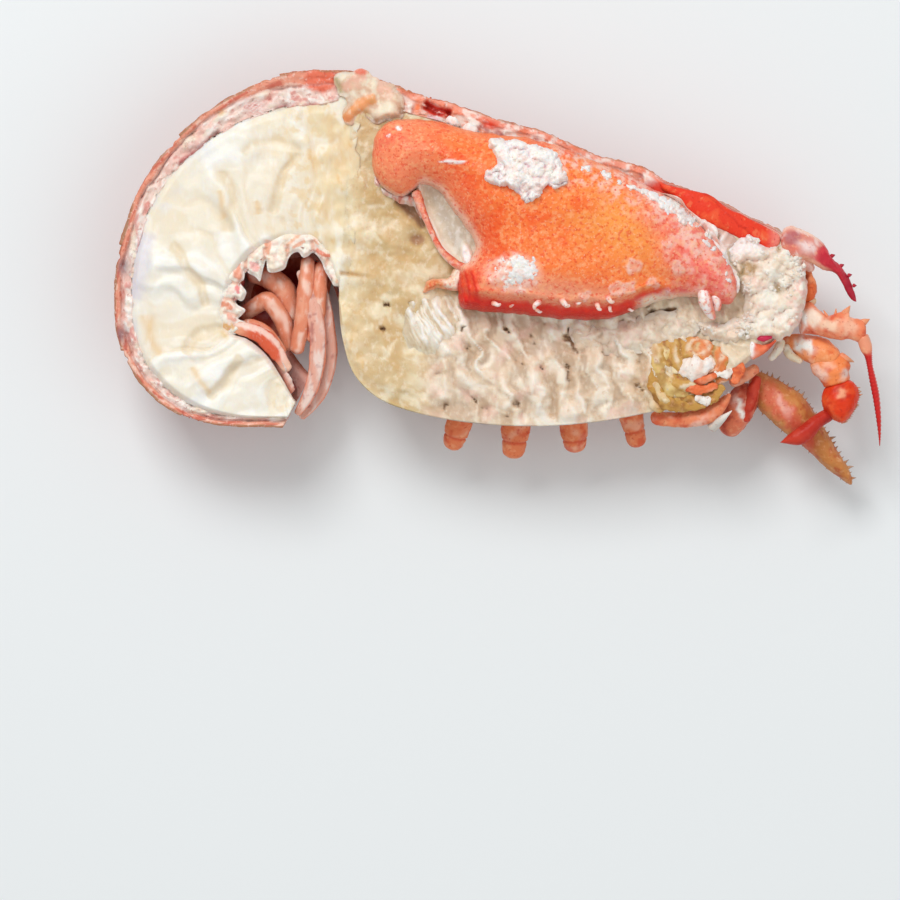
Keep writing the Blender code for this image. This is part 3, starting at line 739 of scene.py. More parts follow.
class Half:
    """One stretch of the split animal: its edges on the cut face and its depth below it."""

    def __init__(self, back, belly, depth, rim, reach, sweep):
        self.back = back
        self.belly = belly
        self.depth = depth
        self.rim = rim
        self.reach = reach
        self.sweep = sweep

    def plan(self, share, across):
        """World x and y of points `across` mm from the back edge towards the belly."""
        start = curve(self.back, share)
        way = curve(self.belly, share) - start
        way = way / np.linalg.norm(way, axis=-1, keepdims=True)
        spots = start + way * across[..., None]
        return spots[..., 0], spots[..., 1]

    def width(self, share):
        return np.linalg.norm(curve(self.belly, share) - curve(self.back, share), axis=-1)

    def skin(self, share, angle, inwards):
        """(across, height) of the section's skin at an angle, moved inwards by a distance."""
        wide = self.width(share)
        deep = curve(self.depth, share)
        near = BACK_SHARE * wide
        far = wide - near + self.reach
        turn = np.maximum(angle - math.pi / 2, 0)
        first = angle <= math.pi / 2
        across = np.where(first, near * (1 - np.cos(angle)), near + far * np.sin(turn))
        height = np.where(first, -deep * np.sin(angle), -deep * np.cos(turn))
        nx = np.where(first, deep * np.cos(angle), -deep * np.sin(turn))
        nz = np.where(first, near * np.sin(angle), far * np.cos(turn))
        size = np.hypot(nx, nz)
        return across + nx / size * inwards, CUT + height + nz / size * inwards

    def thickness(self, share, angle):
        fade = np.clip(1 - angle / RIM_FADE, 0, 1)
        return SHELL + (curve(self.rim, share) - SHELL) * fade ** 1.5


TAIL = Half(TAIL_BACK, TAIL_BELLY, TAIL_DEPTH, TAIL_RIM, FLAP_REACH, FLAP_SWEEP)
BODY = Half(BODY_BACK, BODY_BELLY, BODY_DEPTH, BODY_RIM, BODY_REACH, BODY_SWEEP)


def flesh_strip(half, rows, columns, wall, top, end_lip=0.0, skin=None):
    """The flesh in a half, a little over the rim's inner edge. top(x, y, share, across, v) gives
    its height over the cut and its colours, where v is 0 at the rim and 1 at the belly edge.
    skin(share, height, tint) may swell and paint the belly side."""
    rows, columns = count(rows), count(columns)
    share = np.linspace(0, 1, rows)[:, None]
    edge = half.width(share) - wall
    angle = (math.pi / 2 + half.sweep) * 0.86 * np.linspace(0, 1, count(20))[None, :-1]
    across, height = half.skin(share, angle, half.thickness(share, angle) + 0.2)
    across = np.minimum(across, edge)
    height = np.maximum(height, SHELL)
    low, near = height[:, -1:], across[:, -1:]
    up = np.linspace(0.03, 0.98, count(30))[None]
    height = np.concatenate([height, low + (CUT - low) * up], 1)
    across = np.concatenate([across, near + (edge - near) * up ** 0.45], 1)
    run = np.broadcast_to(share * STRIP_RUN, height.shape).ravel()
    level = np.stack([run + 0.4 * height.ravel(), height.ravel(), 0 * run], -1)
    bundle = fractal(level, (4.5, 14, 1), 3, 303) + 0.5 * fractal(level, 3, 3, 304)
    cleft = smooth(np.cos(run * math.tau / CLEFT_SPACING + 1.6 * bundle), 0.72, 0.98)
    across = across - np.reshape(np.clip(0.5 - 1.1 * bundle, 0, 2) + 0.9 * cleft, height.shape)
    v = np.linspace(1, 0, columns)[None]
    rim = half.thickness(share, np.zeros_like(share)) - 0.7
    upper = rim + (edge - rim) * v
    x, y = half.plan(np.broadcast_to(share, upper.shape), upper)
    spots = flat(x.ravel(), y.ravel())
    lip = end_lip * (1 + 0.5 * noise(spots, 5, 301) + 0.3 * noise(spots, 1.6, 302))
    x = x + np.reshape(lip, x.shape) * np.clip(1 - share / 0.03, 0, 1)
    level = [np.broadcast_to(a, x.shape).ravel() for a in (x, y, share, upper, v)]
    rise, tint = top(*level)
    xu, yu = half.plan(np.broadcast_to(share, across.shape), across)
    points = np.concatenate(
        [np.stack([xu, yu, height], -1), np.stack([x, y, CUT + rise.reshape(x.shape)], -1)], 1)
    # Painted shade in the grooves between the bundles and in the clefts, painted highlights in cream on
    # the bundles.
    below = painted(
        plain(tint.mean(0), xu.size), ((0.74, 0.46, 0.36), 0.7 * smooth(-bundle, -0.1, 0.35)),
        (CREAM, 0.6 * smooth(bundle, 0.1, 0.45)), ((0.78, 0.42, 0.32), 0.75 * cleft),
        ((0.82, 0.58, 0.5), 0.6 * smooth(-height.ravel(), -14, -4)))
    if skin:
        swell, below = skin(run.ravel() / STRIP_RUN, height.ravel(), below)
        xu, yu = half.plan(np.broadcast_to(share, across.shape), across + swell.reshape(across.shape))
        points[:, :across.shape[1], :2] = np.stack([xu, yu], -1)
    shades = np.concatenate([below.reshape(*xu.shape, 3), tint.reshape(*x.shape, 3)], 1)
    return shape(points, ring_faces(rows, points.shape[1]), shades.reshape(-1, 3))


def shell_strip(half, start, end, rows, flare, rim_top, side, tuck=0.0):
    """The shell between two shares of a half. rim_top(x, y, share, across, w) gives the cut
    rim's relief and colours, side(p, share, angle) those of the outside."""
    rows = count(rows)
    t = np.linspace(0, 1, rows)[:, None]
    share = start + (end - start) * t
    lift = flare * t ** 2 - tuck * smooth(-t, -0.16, -0.02)
    outer = np.linspace(0, math.pi / 2 + half.sweep, count(90))[None, ::-1]
    inner = outer[:, ::-3]
    rim = np.linspace(0, 1, count(34))[None, 1:-1]
    size = (rows, outer.shape[1])
    a1, h1 = half.skin(share, outer, -lift)
    x1, y1 = half.plan(np.broadcast_to(share, size), a1)
    proud, side_tint = side(
        np.stack([x1, y1, h1], -1).reshape(-1, 3), np.broadcast_to(share, size).ravel(),
        np.broadcast_to(outer, size).ravel())
    a1, h1 = half.skin(share, outer, -lift - proud.reshape(size))
    thick = half.thickness(share, inner)
    a3, h3 = half.skin(share, inner, thick)
    wide = half.thickness(share, np.zeros_like(share))
    a2 = rim * wide + a1[:, -1:] * (1 - rim)
    x, y = half.plan(np.broadcast_to(share, a2.shape), a2)
    bumps, rim_tint = rim_top(
        x.ravel(), y.ravel(), np.broadcast_to(share, x.shape).ravel(), a2.ravel(),
        np.broadcast_to(rim, x.shape).ravel())
    h2 = CUT + bumps.reshape(x.shape)
    h1 = h1 + (h2[:, :1] - CUT) * smooth(-outer, -0.15, 0) * 0.8
    across = np.concatenate([a1, a2, a3], 1)
    height = np.concatenate([np.maximum(h1, 0), h2, np.maximum(h3, SHELL)], 1)
    xs, ys = half.plan(np.broadcast_to(share, across.shape), across)
    shade = np.concatenate([side_tint.reshape(*size, 3), rim_tint.reshape(*x.shape, 3),
                            np.broadcast_to(PINK, (*a3.shape, 3))], 1)
    points = np.stack([xs, ys, height], -1)
    return shape(points, ring_faces(rows, points.shape[1]), shade.reshape(-1, 3))


# Plates and mounds inside a closed outline.

def outline_curve(points, spacing):
    """Evenly spaced points on the smooth closed curve through an outline."""
    ring = np.asarray(points, float)
    ring = np.concatenate([ring, ring[:1]])
    dense = curve(np.concatenate([ring[-2:-1], ring, ring[1:2]]),
                  np.linspace(1, len(ring), len(points) * 24 + 1) / (len(ring) + 1))
    steps = np.concatenate([[0], np.cumsum(np.linalg.norm(np.diff(dense, axis=0), axis=1))])
    at = np.linspace(0, steps[-1], int(steps[-1] / spacing), endpoint=False)
    return np.stack([np.interp(at, steps, dense[:, i]) for i in (0, 1)], -1)


def plate(outline, spacing, rough=0.0):
    """(flat points, triangles, distance from the edge) of the area inside an outline."""
    spacing = spacing / FINE
    rim = outline_curve(outline, spacing)
    if rough:
        rim = rim + rough * np.stack([noise(flat(*rim.T), 2.2, 311), noise(flat(*rim.T), 2.2, 312)], -1)
    low, high = rim.min(0), rim.max(0)
    gx, gy = np.meshgrid(np.arange(low[0], high[0], spacing), np.arange(low[1], high[1], spacing * 0.87))
    gx = (gx + (np.arange(len(gx))[:, None] % 2) * spacing / 2).ravel()
    gy = gy.ravel()
    ring = np.concatenate([rim, rim[:1]])
    inside = np.zeros(len(gx), bool)
    for a, b in zip(ring[:-1], ring[1:]):
        crosses = (a[1] > gy) != (b[1] > gy)
        with np.errstate(divide="ignore", invalid="ignore"):
            inside ^= crosses & (gx < (b[0] - a[0]) * (gy - a[1]) / (b[1] - a[1]) + a[0])
    gx, gy = gx[inside], gy[inside]
    keep = path_distance(gx, gy, ring)[0] > 0.55 * spacing
    seeds = [Vector(q) for q in rim] + [Vector(q) for q in zip(gx[keep], gy[keep])]
    plan, _, faces, _, _, _ = delaunay_2d_cdt(seeds, [], [list(range(len(rim)))], 1, 1e-6)
    spots = np.array([tuple(q) for q in plan])
    away = path_distance(spots[:, 0], spots[:, 1], ring)[0]
    away[:len(rim)] = 0
    return spots, np.array(faces, np.int32), away


def mound(outline, spacing, base, top, rough=0.0, least=0.15):
    """A solid inside an outline, on a base height or on one for each place; top(x, y, away)
    gives its height over the base and its colours."""
    spots, tris, away = plate(outline, spacing, rough)
    floor = base(*spots.T) if callable(base) else np.full(len(spots), base)
    rise, tint = top(spots[:, 0], spots[:, 1], away)
    upper = np.column_stack([spots, floor + np.maximum(rise, least)])
    lower = np.column_stack([spots, floor])
    n = len(spots)
    edges = np.concatenate([tris[:, [0, 1]], tris[:, [1, 2]], tris[:, [2, 0]]])
    keys = set(map(tuple, edges))
    border = np.array([e for e in keys if (e[1], e[0]) not in keys], np.int32)
    border = border[np.lexsort(border.T)]
    sides = np.column_stack([border[:, 1], border[:, 0], border[:, 0] + n, border[:, 1] + n])
    return shape(
        np.concatenate([upper, lower]), [tris, tris[:, ::-1] + n, sides], np.concatenate([tint, tint]))


def host_patch(outline, spacing, top, grow):
    """A surface inside an outline for small things to grow on: (points, faces, attributes)."""
    spots, tris, away = plate(outline, spacing)
    x, y = spots.T
    return np.column_stack([spots, top(x, y, away)]), [tris], {"grow": grow(x, y, away)}


# Small shapes, one unit tall, that the growth trees repeat.

def spine(root, tip, lean=0.25, thick=0.32):
    """A short curved thorn."""
    turn = np.linspace(0, math.tau, 7, endpoint=False)
    rows = []
    for t in (-0.15, 0.15, 0.5, 0.8, 1.0):
        wide = thick * max(1 - t, 0.06) ** 0.8
        y = wide * np.sin(turn) + lean * t * t
        rows.append(np.stack([wide * np.cos(turn), y, np.full(7, t)], -1))
    tints = [tinted(plain(root, 7), tip, np.full(7, max(t, 0))) for t in (0, 0.1, 0.5, 0.9, 1)]
    return shape(np.concatenate(rows), ring_faces(5, 7), np.concatenate(tints))


def granule(colour, tip):
    """A low rounded wart of shell."""
    turn = np.linspace(0, math.tau, 6, endpoint=False)
    rows, tints = [], []
    for t, wide in ((-0.4, 1.2), (0.25, 0.95), (0.6, 0.35)):
        rows.append(np.stack([wide * np.cos(turn), wide * np.sin(turn), np.full(6, t)], -1))
        tints.append(tinted(plain(colour, 6), tip, np.full(6, max(t, 0) * 1.5)))
    return shape(np.concatenate(rows), ring_faces(3, 6), np.concatenate(tints))


# The tail. Soft folds of its meat: each a bent line with the width and depth of its crease.
TAIL_FOLDS = [
    ([(-72, 35), (-67.7, 38), (-60, 38.3), (-54.5, 35.5)], 1.6, 0.9),
    ([(-55, 35.6), (-59.6, 30), (-61.8, 23), (-63.6, 17.4)], 1.5, 1.5),
    ([(-92.6, 10.4), (-87.3, 4.3), (-82.8, -1.7), (-80, -9)], 1.6, 1.5),
    ([(-76.4, 31), (-74, 22), (-75.6, 12)], 1.7, 1.1), ([(-50.4, 18), (-46, 23), (-41, 26.5)], 1.5, 1.2),
    ([(-88.6, -21.4), (-85, -16), (-79, -13.6), (-75.6, -14.4)], 1.6, 1.7),
    ([(-82, -34), (-76, -28), (-70.6, -20.6)], 1.5, 1.2)]
OCHRE_STREAKS = [
    ([(-78.3, 24.4), (-77.4, 20), (-76, 16)], 0.8), ([(-67.4, 22), (-66.2, 17)], 0.8),
    ([(-86.4, -25), (-83.4, -29.4), (-80.6, -32)], 0.8), ([(-98.4, -9), (-97.6, -16), (-94.6, -21)], 1.4),
    ([(-50.4, 18.4), (-46, 23.2), (-42, 26.4)], 1.2), ([(-46.4, 27.4), (-42.4, 25.6)], 1.3)]


def bridge(x, y):
    """Height and colours of the yellowish flesh that joins the tail meat to the body flesh."""
    p = flat(x, y)
    rise = 0.8 + 1.5 * fractal(p, (10, 7, 1), 2, 501) + 0.5 * fractal(p, (3.4, 4.6, 1), 2, 502)
    rise -= 0.9 * streak(x, y, [(-44.6, 1.6), (-41, 1.4), (-36, 0.5), (-34, 0.2)], 0.5)
    tint = coat(
        x, (0.83, 0.69, 0.44), ((0.92, 0.87, 0.74), 0.8 * patches(p, 7, 3, 504, 0.0, 0.4)),
        ((0.8, 0.6, 0.34), 0.75 * patches(p, (4, 6, 1), 3, 505, 0.08, 0.45)),
        ((0.7, 0.49, 0.25), 0.7 * smooth(x - 0.2 * y, -44, -32)),
        (OCHRE, 0.45 * patches(p, 3.2, 2, 506, 0.3, 0.6)),
        ((0.78, 0.36, 0.1), 0.8 * spot(x, y, (-33.4, 25), 1.5, 2.0)),
        # Painted shade in the groove that the rise digs along this line.
        ((0.56, 0.32, 0.12), 0.9 * streak(x, y, [(-44.6, 1.6), (-41, 1.4), (-36, 0.5), (-34, 0.2)], 0.6)))
    return rise, tint


def creases(x, y, folds):
    """Height of bent creases with a soft swell beside each, and how deep in one a place is."""
    dip = np.zeros_like(x)
    swell = np.zeros_like(x)
    for path, wide, deep in folds:
        dip = np.maximum(dip, deep * streak(x, y, path, wide))
        swell = np.maximum(swell, 0.35 * deep * streak(x, y, path, wide * 3))
    return swell - 0.7 * dip, dip


def tail_top(x, y, share, across, v):
    """Soft folds of meat that run from the rim to the curl, and the meat's colours."""
    p = flat(x, y)
    px = x + 1.6 * fractal(p, 9, 2, 5)
    py = y + 1.6 * fractal(p, 9, 2, 6)
    grid = np.stack([share * STRIP_RUN + 8 * fractal(p, 14, 2, 7), v * 24 + 3 * noise(p, 7, 9), 0 * x], -1)
    broad = smooth(noise(grid, (8, 26, 1), 11), -0.6, 0.6)
    small = smooth(noise(grid, (3.4, 15, 1), 19), -0.6, 0.6)
    marked, dip = creases(px, py, TAIL_FOLDS)
    edge = smooth(v, 0.0, 0.08) * smooth(1 - v, -0.01, 0.07)
    ribbon = curve(TAIL_RIM, share) + 4.6 + 1.2 * fractal(p, 8, 2, 12)
    veil = smooth(ribbon - across, -1.5, 1.5) * smooth(share, 0.2, 0.3) * smooth(-share, -0.72, -0.6)
    swell = 0.2 + 1.7 * broad + 0.5 * small * smooth(noise(p, 10, 23), -0.4, 0.4) + marked
    rise = edge * (swell * (1 - 0.6 * veil) + 0.9 * noise(grid, (14, 20, 1), 2) + 0.7)
    rise += 0.1 * fractal(p, 2.2, 3, 8) - 0.5 * smooth(-v, -0.02, 0)
    low = smooth(-broad, -0.45, -0.1) + 0.5 * smooth(-small, -0.4, -0.1)
    tint = coat(
        x, (0.9, 0.88, 0.8), ((0.93, 0.92, 0.87), patches(p, 9, 3, 21, -0.2, 0.4)),
        ((0.82, 0.77, 0.66), 0.6 * patches(p, 7, 3, 22, 0.05, 0.45)),
        ((0.89, 0.8, 0.62), 0.5 * patches(p, 6, 4, 31, 0.0, 0.45) * smooth(x, -98, -60)),
        # The first colour here is painted shade in the hollows between the broad folds.
        ((0.86, 0.77, 0.61), 0.7 * low), (BLUISH, 0.4 * veil * patches(p, 5, 2, 36, -0.3, 0.3)),
        (LILAC, 0.5 * veil * streak(x, y, [(-97, 14), (-101.5, 0), (-102.5, -6)], 3.4)),
        # Painted shade in the creases.
        ((0.8, 0.67, 0.47), 0.7 * smooth(dip, 0.15, 0.9)),
        ((0.83, 0.69, 0.46), 0.75 * patches(p, 5, 3, 37, -0.3, 0.3) * smooth(x + 0.4 * y, -56, -32)),
        ((0.8, 0.58, 0.3), 0.6 * patches(p, 2.6, 4, 38, 0.1, 0.35) * smooth(x, -70, -50)))
    for path, wide in OCHRE_STREAKS:
        tint = tinted(tint, OCHRE, 0.5 * streak(px, py, path, wide * 1.3))
    bead = spot(x, y, (-52.0, 34.6), 1.5, 1.9)
    rise += 0.7 * spot(x, y, (-53.4, 38), 1.5) + 0.3 * bead
    tint = painted(
        tint, (OCHRE, 0.8 * bead), ((0.8, 0.54, 0.26), 0.8 * spot(x, y, (-59.8, 10.8), 1.6, 1.0, -20)),
        ((0.8, 0.54, 0.26), 0.8 * spot(x, y, (-52.2, 11.8), 1.4, 1.2)),
        ((0.84, 0.44, 0.3), 0.8 * streak(x, y, [(-64.2, 11), (-64.6, 7.4)], 1.0)),
        ((0.8, 0.52, 0.2), 0.8 * spot(x, y, (-76.2, -15.6), 1.2)),
        (BLUSH, 0.5 * smooth(v + 0.06 * fractal(p, 4, 2, 35), 0.94, 1.0)))
    over = smooth(x + 0.07 * y, -53, -44)
    level, shade = bridge(x, y)
    return rise * (1 - over) + edge * level * over, tinted(tint, shade, over)


WINE_SPOTS = [(-60, 48.2), (-52.5, 48.4), (-48, 47.3)]
DARK_SPOTS = [(-104.9, 3.6), (-105.4, -15.4)]


def tail_rim(x, y, share, across, w):
    """The tail's cut rim: a brown outer skin, red shell, then lumpy pink and white tissue."""
    p = flat(x, y)
    along = np.stack([share * 160, across, 0 * x], -1)
    near = across + 0.8 * fractal(along, (7, 4, 1), 3, 70)
    top_ring = smooth(-share, -0.26, -0.12)
    inner = 1.9 + 1.9 * top_ring
    shell = smooth(inner - near, -0.15, 0.35)
    tissue = fractal(along, (3.6, 3.0, 1), 3, 72)
    fine = fractal(p, 1.2, 3, 77)
    comb = spot(x, y, (-68, 48.4), 3.4, 2.4, -40)
    ribs = np.cos((x * 0.64 - y * 0.77) * 7.5) * comb
    bumps = 0.5 + (1.5 * tissue + 0.35 * fine) * (1 - shell) + 0.35 * fine * shell
    bumps += shell * 0.6 * np.sqrt(np.clip(1 - (near / 2.2) ** 2, 0, 1))
    bumps -= 0.7 * np.exp(-((near - inner - 0.2) / 0.4) ** 2) - 0.3 * ribs
    bumps -= 0.6 * smooth(-w, -1.0, -0.94)
    tint = coat(
        x, (0.86, 0.68, 0.6), ((0.93, 0.86, 0.8), smooth(tissue, -0.05, 0.3)),
        (PINK, 0.8 * patches(along, (4.4, 3.2, 1), 3, 74, 0.05, 0.4)),
        ((0.7, 0.26, 0.22), 0.8 * patches(along, (4, 2.4, 1), 3, 75, 0.22, 0.5)),
        ((0.9, 0.8, 0.62), 0.6 * patches(along, (5, 3, 1), 3, 78, 0.2, 0.5)),
        ((0.78, 0.44, 0.4), 0.8 * comb), (WARM_WHITE, 0.6 * smooth(ribs, 0.1, 0.8)))
    for at in WINE_SPOTS:
        tint = tinted(tint, WINE, 0.8 * spot(x, y, at, 2.0, 0.9, 10))
    tint = painted(
        tint, (WINE, 0.75 * streak(x, y, [(-76.9, 41.6), (-83, 37), (-89.7, 31.4)], 1.0)),
        ((0.62, 0.36, 0.46), 0.75 * streak(x, y, [(-95.6, 19.3), (-98.5, 13), (-100.6, 6)], 1.1)),
        (OCHRE, 0.7 * spot(x, y, (-77.4, 47), 1.4)), ((0.82, 0.33, 0.22), shell),
        ((0.62, 0.14, 0.09), 0.9 * shell * patches(along, (6, 1.2, 1), 3, 76, -0.02, 0.3)),
        ((0.9, 0.62, 0.5), 0.7 * shell * patches(along, (4, 1.5, 1), 3, 79, 0.15, 0.4)),
        ((0.82, 0.17, 0.09), 0.95 * smooth(spot(x, y, (-49.4, 55.6), 5, 3.6), 0.25, 0.6)))
    for at in DARK_SPOTS:
        tint = tinted(tint, GREY_PURPLE, 0.8 * spot(x, y, at, 1.7, 2.6))
    tint = painted(tint, (BROWN, 0.85 * smooth(-near, -0.6, -0.1)),
                   # Painted shade in the groove dug between the red shell and the tissue.
                   ((0.58, 0.28, 0.24), 0.5 * np.exp(-((near - inner - 0.1) / 0.35) ** 2)))
    return bumps, tint


def tail_side(p, share, angle):
    """The tail rings' outside: red, paler towards the belly, finely pitted."""
    across = noise(p, (4, 4, 4), 91)
    proud = 0.18 * fractal(p, 1.3, 3, 92) + 0.22 * across
    along = share * TAIL_RINGS % 1
    joint = np.exp(-((along - 0.1) / 0.02) ** 2) * smooth(share, 0.16, 0.17)
    pale = smooth(-along, -0.08, -0.05) * smooth(share, 0.16, 0.17)
    tint = coat(
        p, SHELL_RED, (CORAL, patches(p, 6, 4, 93, -0.1, 0.6)),
        (DEEP_RED, 0.6 * patches(p, 3.2, 3, 94, 0.15, 0.7)), (SALMON, 0.7 * smooth(angle, 1.5, 2.2)),
        (DEEP_RED, 0.8 * joint), (SALMON, 0.6 * pale), (BROWN, 0.5 * smooth(-angle, -0.12, 0)))
    return proud - 0.6 * joint, tint


def inner_floor(half, share, across):
    """Height of the shell's inner face at a distance across, on its belly side."""
    low = np.full(share.shape, SHELL)
    for angle in math.pi / 2 + half.sweep * np.linspace(0, 1, 13):
        at, height = half.skin(share, np.full(share.shape, angle), SHELL)
        low = np.where(at <= across + 1, np.maximum(low, height), low)
    return low


def belly_wall():
    """The belly plate that lines the curl: wine-red, ribbed, torn along its upper edge."""
    rows = count(320)
    share = np.linspace(0.05, 0.97, rows)[:, None]
    wide = TAIL.width(share)
    foot = inner_floor(TAIL, share, wide) + 0.6
    spots = flat(share.ravel() * STRIP_RUN, 0 * share.ravel())
    ragged = (0.9 * noise(spots, 1.8, 101) + 0.8 * noise(spots, 4.5, 102)).reshape(rows, 1)
    crest = CUT + 0.6 + ragged
    down = np.linspace(0, 1, count(30))[None]
    ribs = np.cos(share * math.tau * 9 + 0.6 * ragged)
    outer = wide + 0.15 + 0.9 * np.sin(math.pi * down) * ribs + 0.5 * ragged * (1 - down)
    inner = wide - 2.1 + 0 * down[:, ::5]
    x, y = TAIL.plan(np.broadcast_to(share, (rows, outer.shape[1] + inner.shape[1])),
                     np.concatenate([outer, inner], 1))
    height = np.concatenate([crest + (foot - crest) * down, foot + (CUT - 0.3 - foot) * down[:, ::5]], 1)
    points = np.stack([x, y, height], -1).reshape(-1, 3)
    depth = CUT - points[:, 2]
    # Pale at the torn crest and wine-red below it; deeper down it turns dark brown, which is painted shade
    # deep in the curl.
    tint = coat(
        points, BLUSH, (SALMON, smooth(depth, -0.6, 0.8)), (WINE, 0.9 * smooth(depth, 0.8, 4)),
        (DEEP_RED, 0.6 * patches(points, 3, 3, 103, 0, 0.5)), (DARK_BROWN, 0.7 * smooth(depth, 8, 20)))
    return shape(points, ring_faces(rows, height.shape[1]), tint)


CURL_SEAM = [(-42.6, -1), (-43, 6), (-47, 12), (-53, 15), (-60, 14.5), (-67, 12), (-73.5, 7), (-78, 1),
             (-79.5, -5), (-79.5, -11), (-77, -16)]

CURL_SKIN = CURL_SEAM + [
    (-72, -14.8), (-70.2, -12.4), (-72.6, -11.2), (-71.8, -10.3), (-70.6, -8.6), (-72.8, -7.2),
    (-73.5, -5.6), (-71.6, -6.2), (-70.6, -4.8), (-70.4, -3.4), (-72, -1.1), (-71, -0.1), (-70.6, 2.4),
    (-69.6, 1.5), (-67.7, 0.5), (-66.5, -0.6), (-65.6, 2.9), (-64.8, 5.2), (-64.3, 2.2), (-62.4, 1.8),
    (-59.6, 2.9), (-58.6, 5.5), (-57.5, 7), (-55.8, 7.5), (-54.5, 6), (-53.2, 6.3), (-51.5, 7.3),
    (-49.4, 5), (-48.4, 2.4), (-46.6, -0.6), (-45.6, -2)]

CURL_STAINS = [
    ([(-64.3, 10.6), (-64.1, 7.4)], 0.8, (0.84, 0.4, 0.26)),
    ([(-73.4, 4.6), (-72.4, 0.6)], 1.1, (0.84, 0.34, 0.22)),
    ([(-68.8, 4.2), (-67.8, 2.8)], 0.9, (0.88, 0.46, 0.42)),
    ([(-73.0, -2.6), (-72.6, -3.8)], 0.7, (0.84, 0.26, 0.26)),
    ([(-77.0, -7.2), (-75.0, -7.8)], 1.1, (0.8, 0.3, 0.18)),
    ([(-75, -10.2), (-73.4, -11.2)], 0.9, (0.86, 0.42, 0.32)),
    ([(-59, 9.4), (-55.4, 12.4)], 0.7, (0.86, 0.5, 0.34)),
    ([(-57, 8.8), (-54, 10.6)], 0.5, (0.84, 0.46, 0.32)),
    ([(-50.8, 7.9), (-47, 6.5)], 0.5, (0.74, 0.2, 0.12)),
    ([(-76.6, -13), (-74, -13.6)], 0.9, (0.78, 0.42, 0.16))]

CURL_CREASES = [
    [(-65.2, 9), (-65.2, 4)], [(-70.4, 6.4), (-70.6, 2)], [(-58.8, 9.6), (-58.6, 6)],
    [(-75.6, -0.6), (-72, -1.6)], [(-77, -5.4), (-73, -6)], [(-77, -9.2), (-72, -10.6)],
    [(-52, 11), (-51.4, 7)], [(-47.2, 6), (-48.6, 3)]]


def curl_skin(x, y, away):
    """Torn membrane that folds over the edge of the hollow: creamy lobes with pink hearts."""
    p = flat(x, y)
    over = smooth(path_distance(x, y, CURL_SEAM)[0], 0.4, 3.4)
    folds = fractal(p, 2.6, 3, 601)
    crease = np.zeros_like(x)
    for path in CURL_CREASES:
        crease = np.maximum(crease, streak(x, y, path, 0.7))
    rise = 0.3 + over * (0.35 + 1.25 * smooth(away, 0, 1.1) + 0.8 * folds - 0.9 * crease)
    tint = coat(
        x, (0.92, 0.87, 0.77), ((0.9, 0.76, 0.6), 0.8 * patches(p, 3.4, 2, 603, 0.0, 0.4)),
        ((0.9, 0.62, 0.52), 0.6 * over * patches(p, 2.4, 2, 604, 0.1, 0.4)),
        ((0.82, 0.46, 0.34), 0.8 * over * smooth(crease, 0.4, 0.9)))
    for path, wide, colour in CURL_STAINS:
        dab = np.exp(-(path_distance(x + 0.8 * folds, y + 0.5 * folds, path)[0] / wide) ** 2)
        tint = tinted(tint, colour, 0.95 * smooth(dab + 0.5 * fractal(p, 1.6, 3, 605), 0.25, 0.75))
    return rise, tinted(tint, (0.95, 0.92, 0.87), 0.85 * smooth(-away, -0.8, -0.25))


def curl_lip():
    """The torn membrane over the edge of the tail's hollow and the red tongue of skin below it."""
    return joined([mound(CURL_SKIN, 0.26, CUT - 0.8, curl_skin, least=0.2),
                   limb(CURL_TONGUE, [1.2, 1.9, 2.3, 2.5, 2.0, 1.3], tongue_paint, 36, 110, 0.6)])


CURL_BED = [(-47.4, 2), (-53, 6.6), (-60, 7), (-66.5, 3.5), (-71, -3), (-71.8, -10), (-67, -14),
            (-61, -15.6), (-55.6, -15.2), (-51.4, -12.4), (-49, -7), (-47.6, -2)]


def curl_floor(x, y, away):
    """Red tissue on the floor of the tail's hollow: red at its thin edges, with painted shade darkening
    its middle.
    """
    p = flat(x, y)
    deep = smooth(away, 1, 6)
    rise = 0.6 + 5.5 * smooth(away, 0, 10) + 1.6 * deep * fractal(p, 6, 3, 131)
    rise += 0.4 * fractal(p, 1.8, 3, 132)
    # The middle turns wine and deep red: painted shade in the hollow of the curl.
    tint = coat(x, SHELL_RED, (SALMON, 0.7 * patches(p, 4, 3, 133, -0.2, 0.3)), (WINE, deep),
                (DEEP_RED, 0.7 * deep * patches(p, 4, 3, 133, -0.2, 0.3)))
    return rise, tint


CURL_TONGUE = [(-75.6, -13.4, 30.2), (-71, -14.0, 30.4), (-67, -15.4, 30.4), (-64, -17.8, 30.2),
               (-61.4, -21.2, 30), (-58.4, -25.8, 29.6)]


def tongue_paint(p, share, turn):
    """A curled strip of belly skin: red, with a pale pink painted highlight along its top."""
    # ridge marks where the highlight is painted along the upper side.
    ridge = smooth(np.cos(turn - 2.3 + 0.5 * fractal(p, 3, 2, 612)), 0.75, 0.95)
    ridge = ridge * smooth(share, 0.03, 0.15)
    tint = coat(
        p, (0.74, 0.12, 0.05), ((0.86, 0.4, 0.24), smooth(-share, -0.35, -0.1)),
        ((0.94, 0.66, 0.56), 0.9 * ridge), ((0.86, 0.52, 0.38), smooth(share, 0.8, 0.95)),
        # Painted shade on the underside.
        (DEEP_RED, 0.6 * smooth(-np.sin(turn), 0, 0.6)))
    return 0.35 * fractal(p, 2.2, 3, 611), tint


def swimmer_paint(p, share, turn):
    """A swimming leg: soft orange-red lobe, painted highlight on its top, painted shade below."""
    streaks = fractal(np.stack([share * 5, np.cos(turn), 0 * turn], -1), 0.9, 2, 142)
    rise = 0.3 * fractal(p, 3.4, 2, 141)
    tint = coat(
        p, (0.78, 0.27, 0.15), ((0.86, 0.42, 0.28), smooth(streaks, -0.1, 0.4)),
        # Painted highlight along the top.
        ((0.93, 0.66, 0.54), 0.8 * smooth(np.sin(turn + 0.4 * streaks), 0.86, 0.99)
         * patches(p, 5, 2, 143, -0.1, 0.3)),
        # Painted shade on the underside.
        ((0.42, 0.04, 0.02), 0.9 * smooth(-np.sin(turn), -0.45, 0.3)))
    return rise, tint


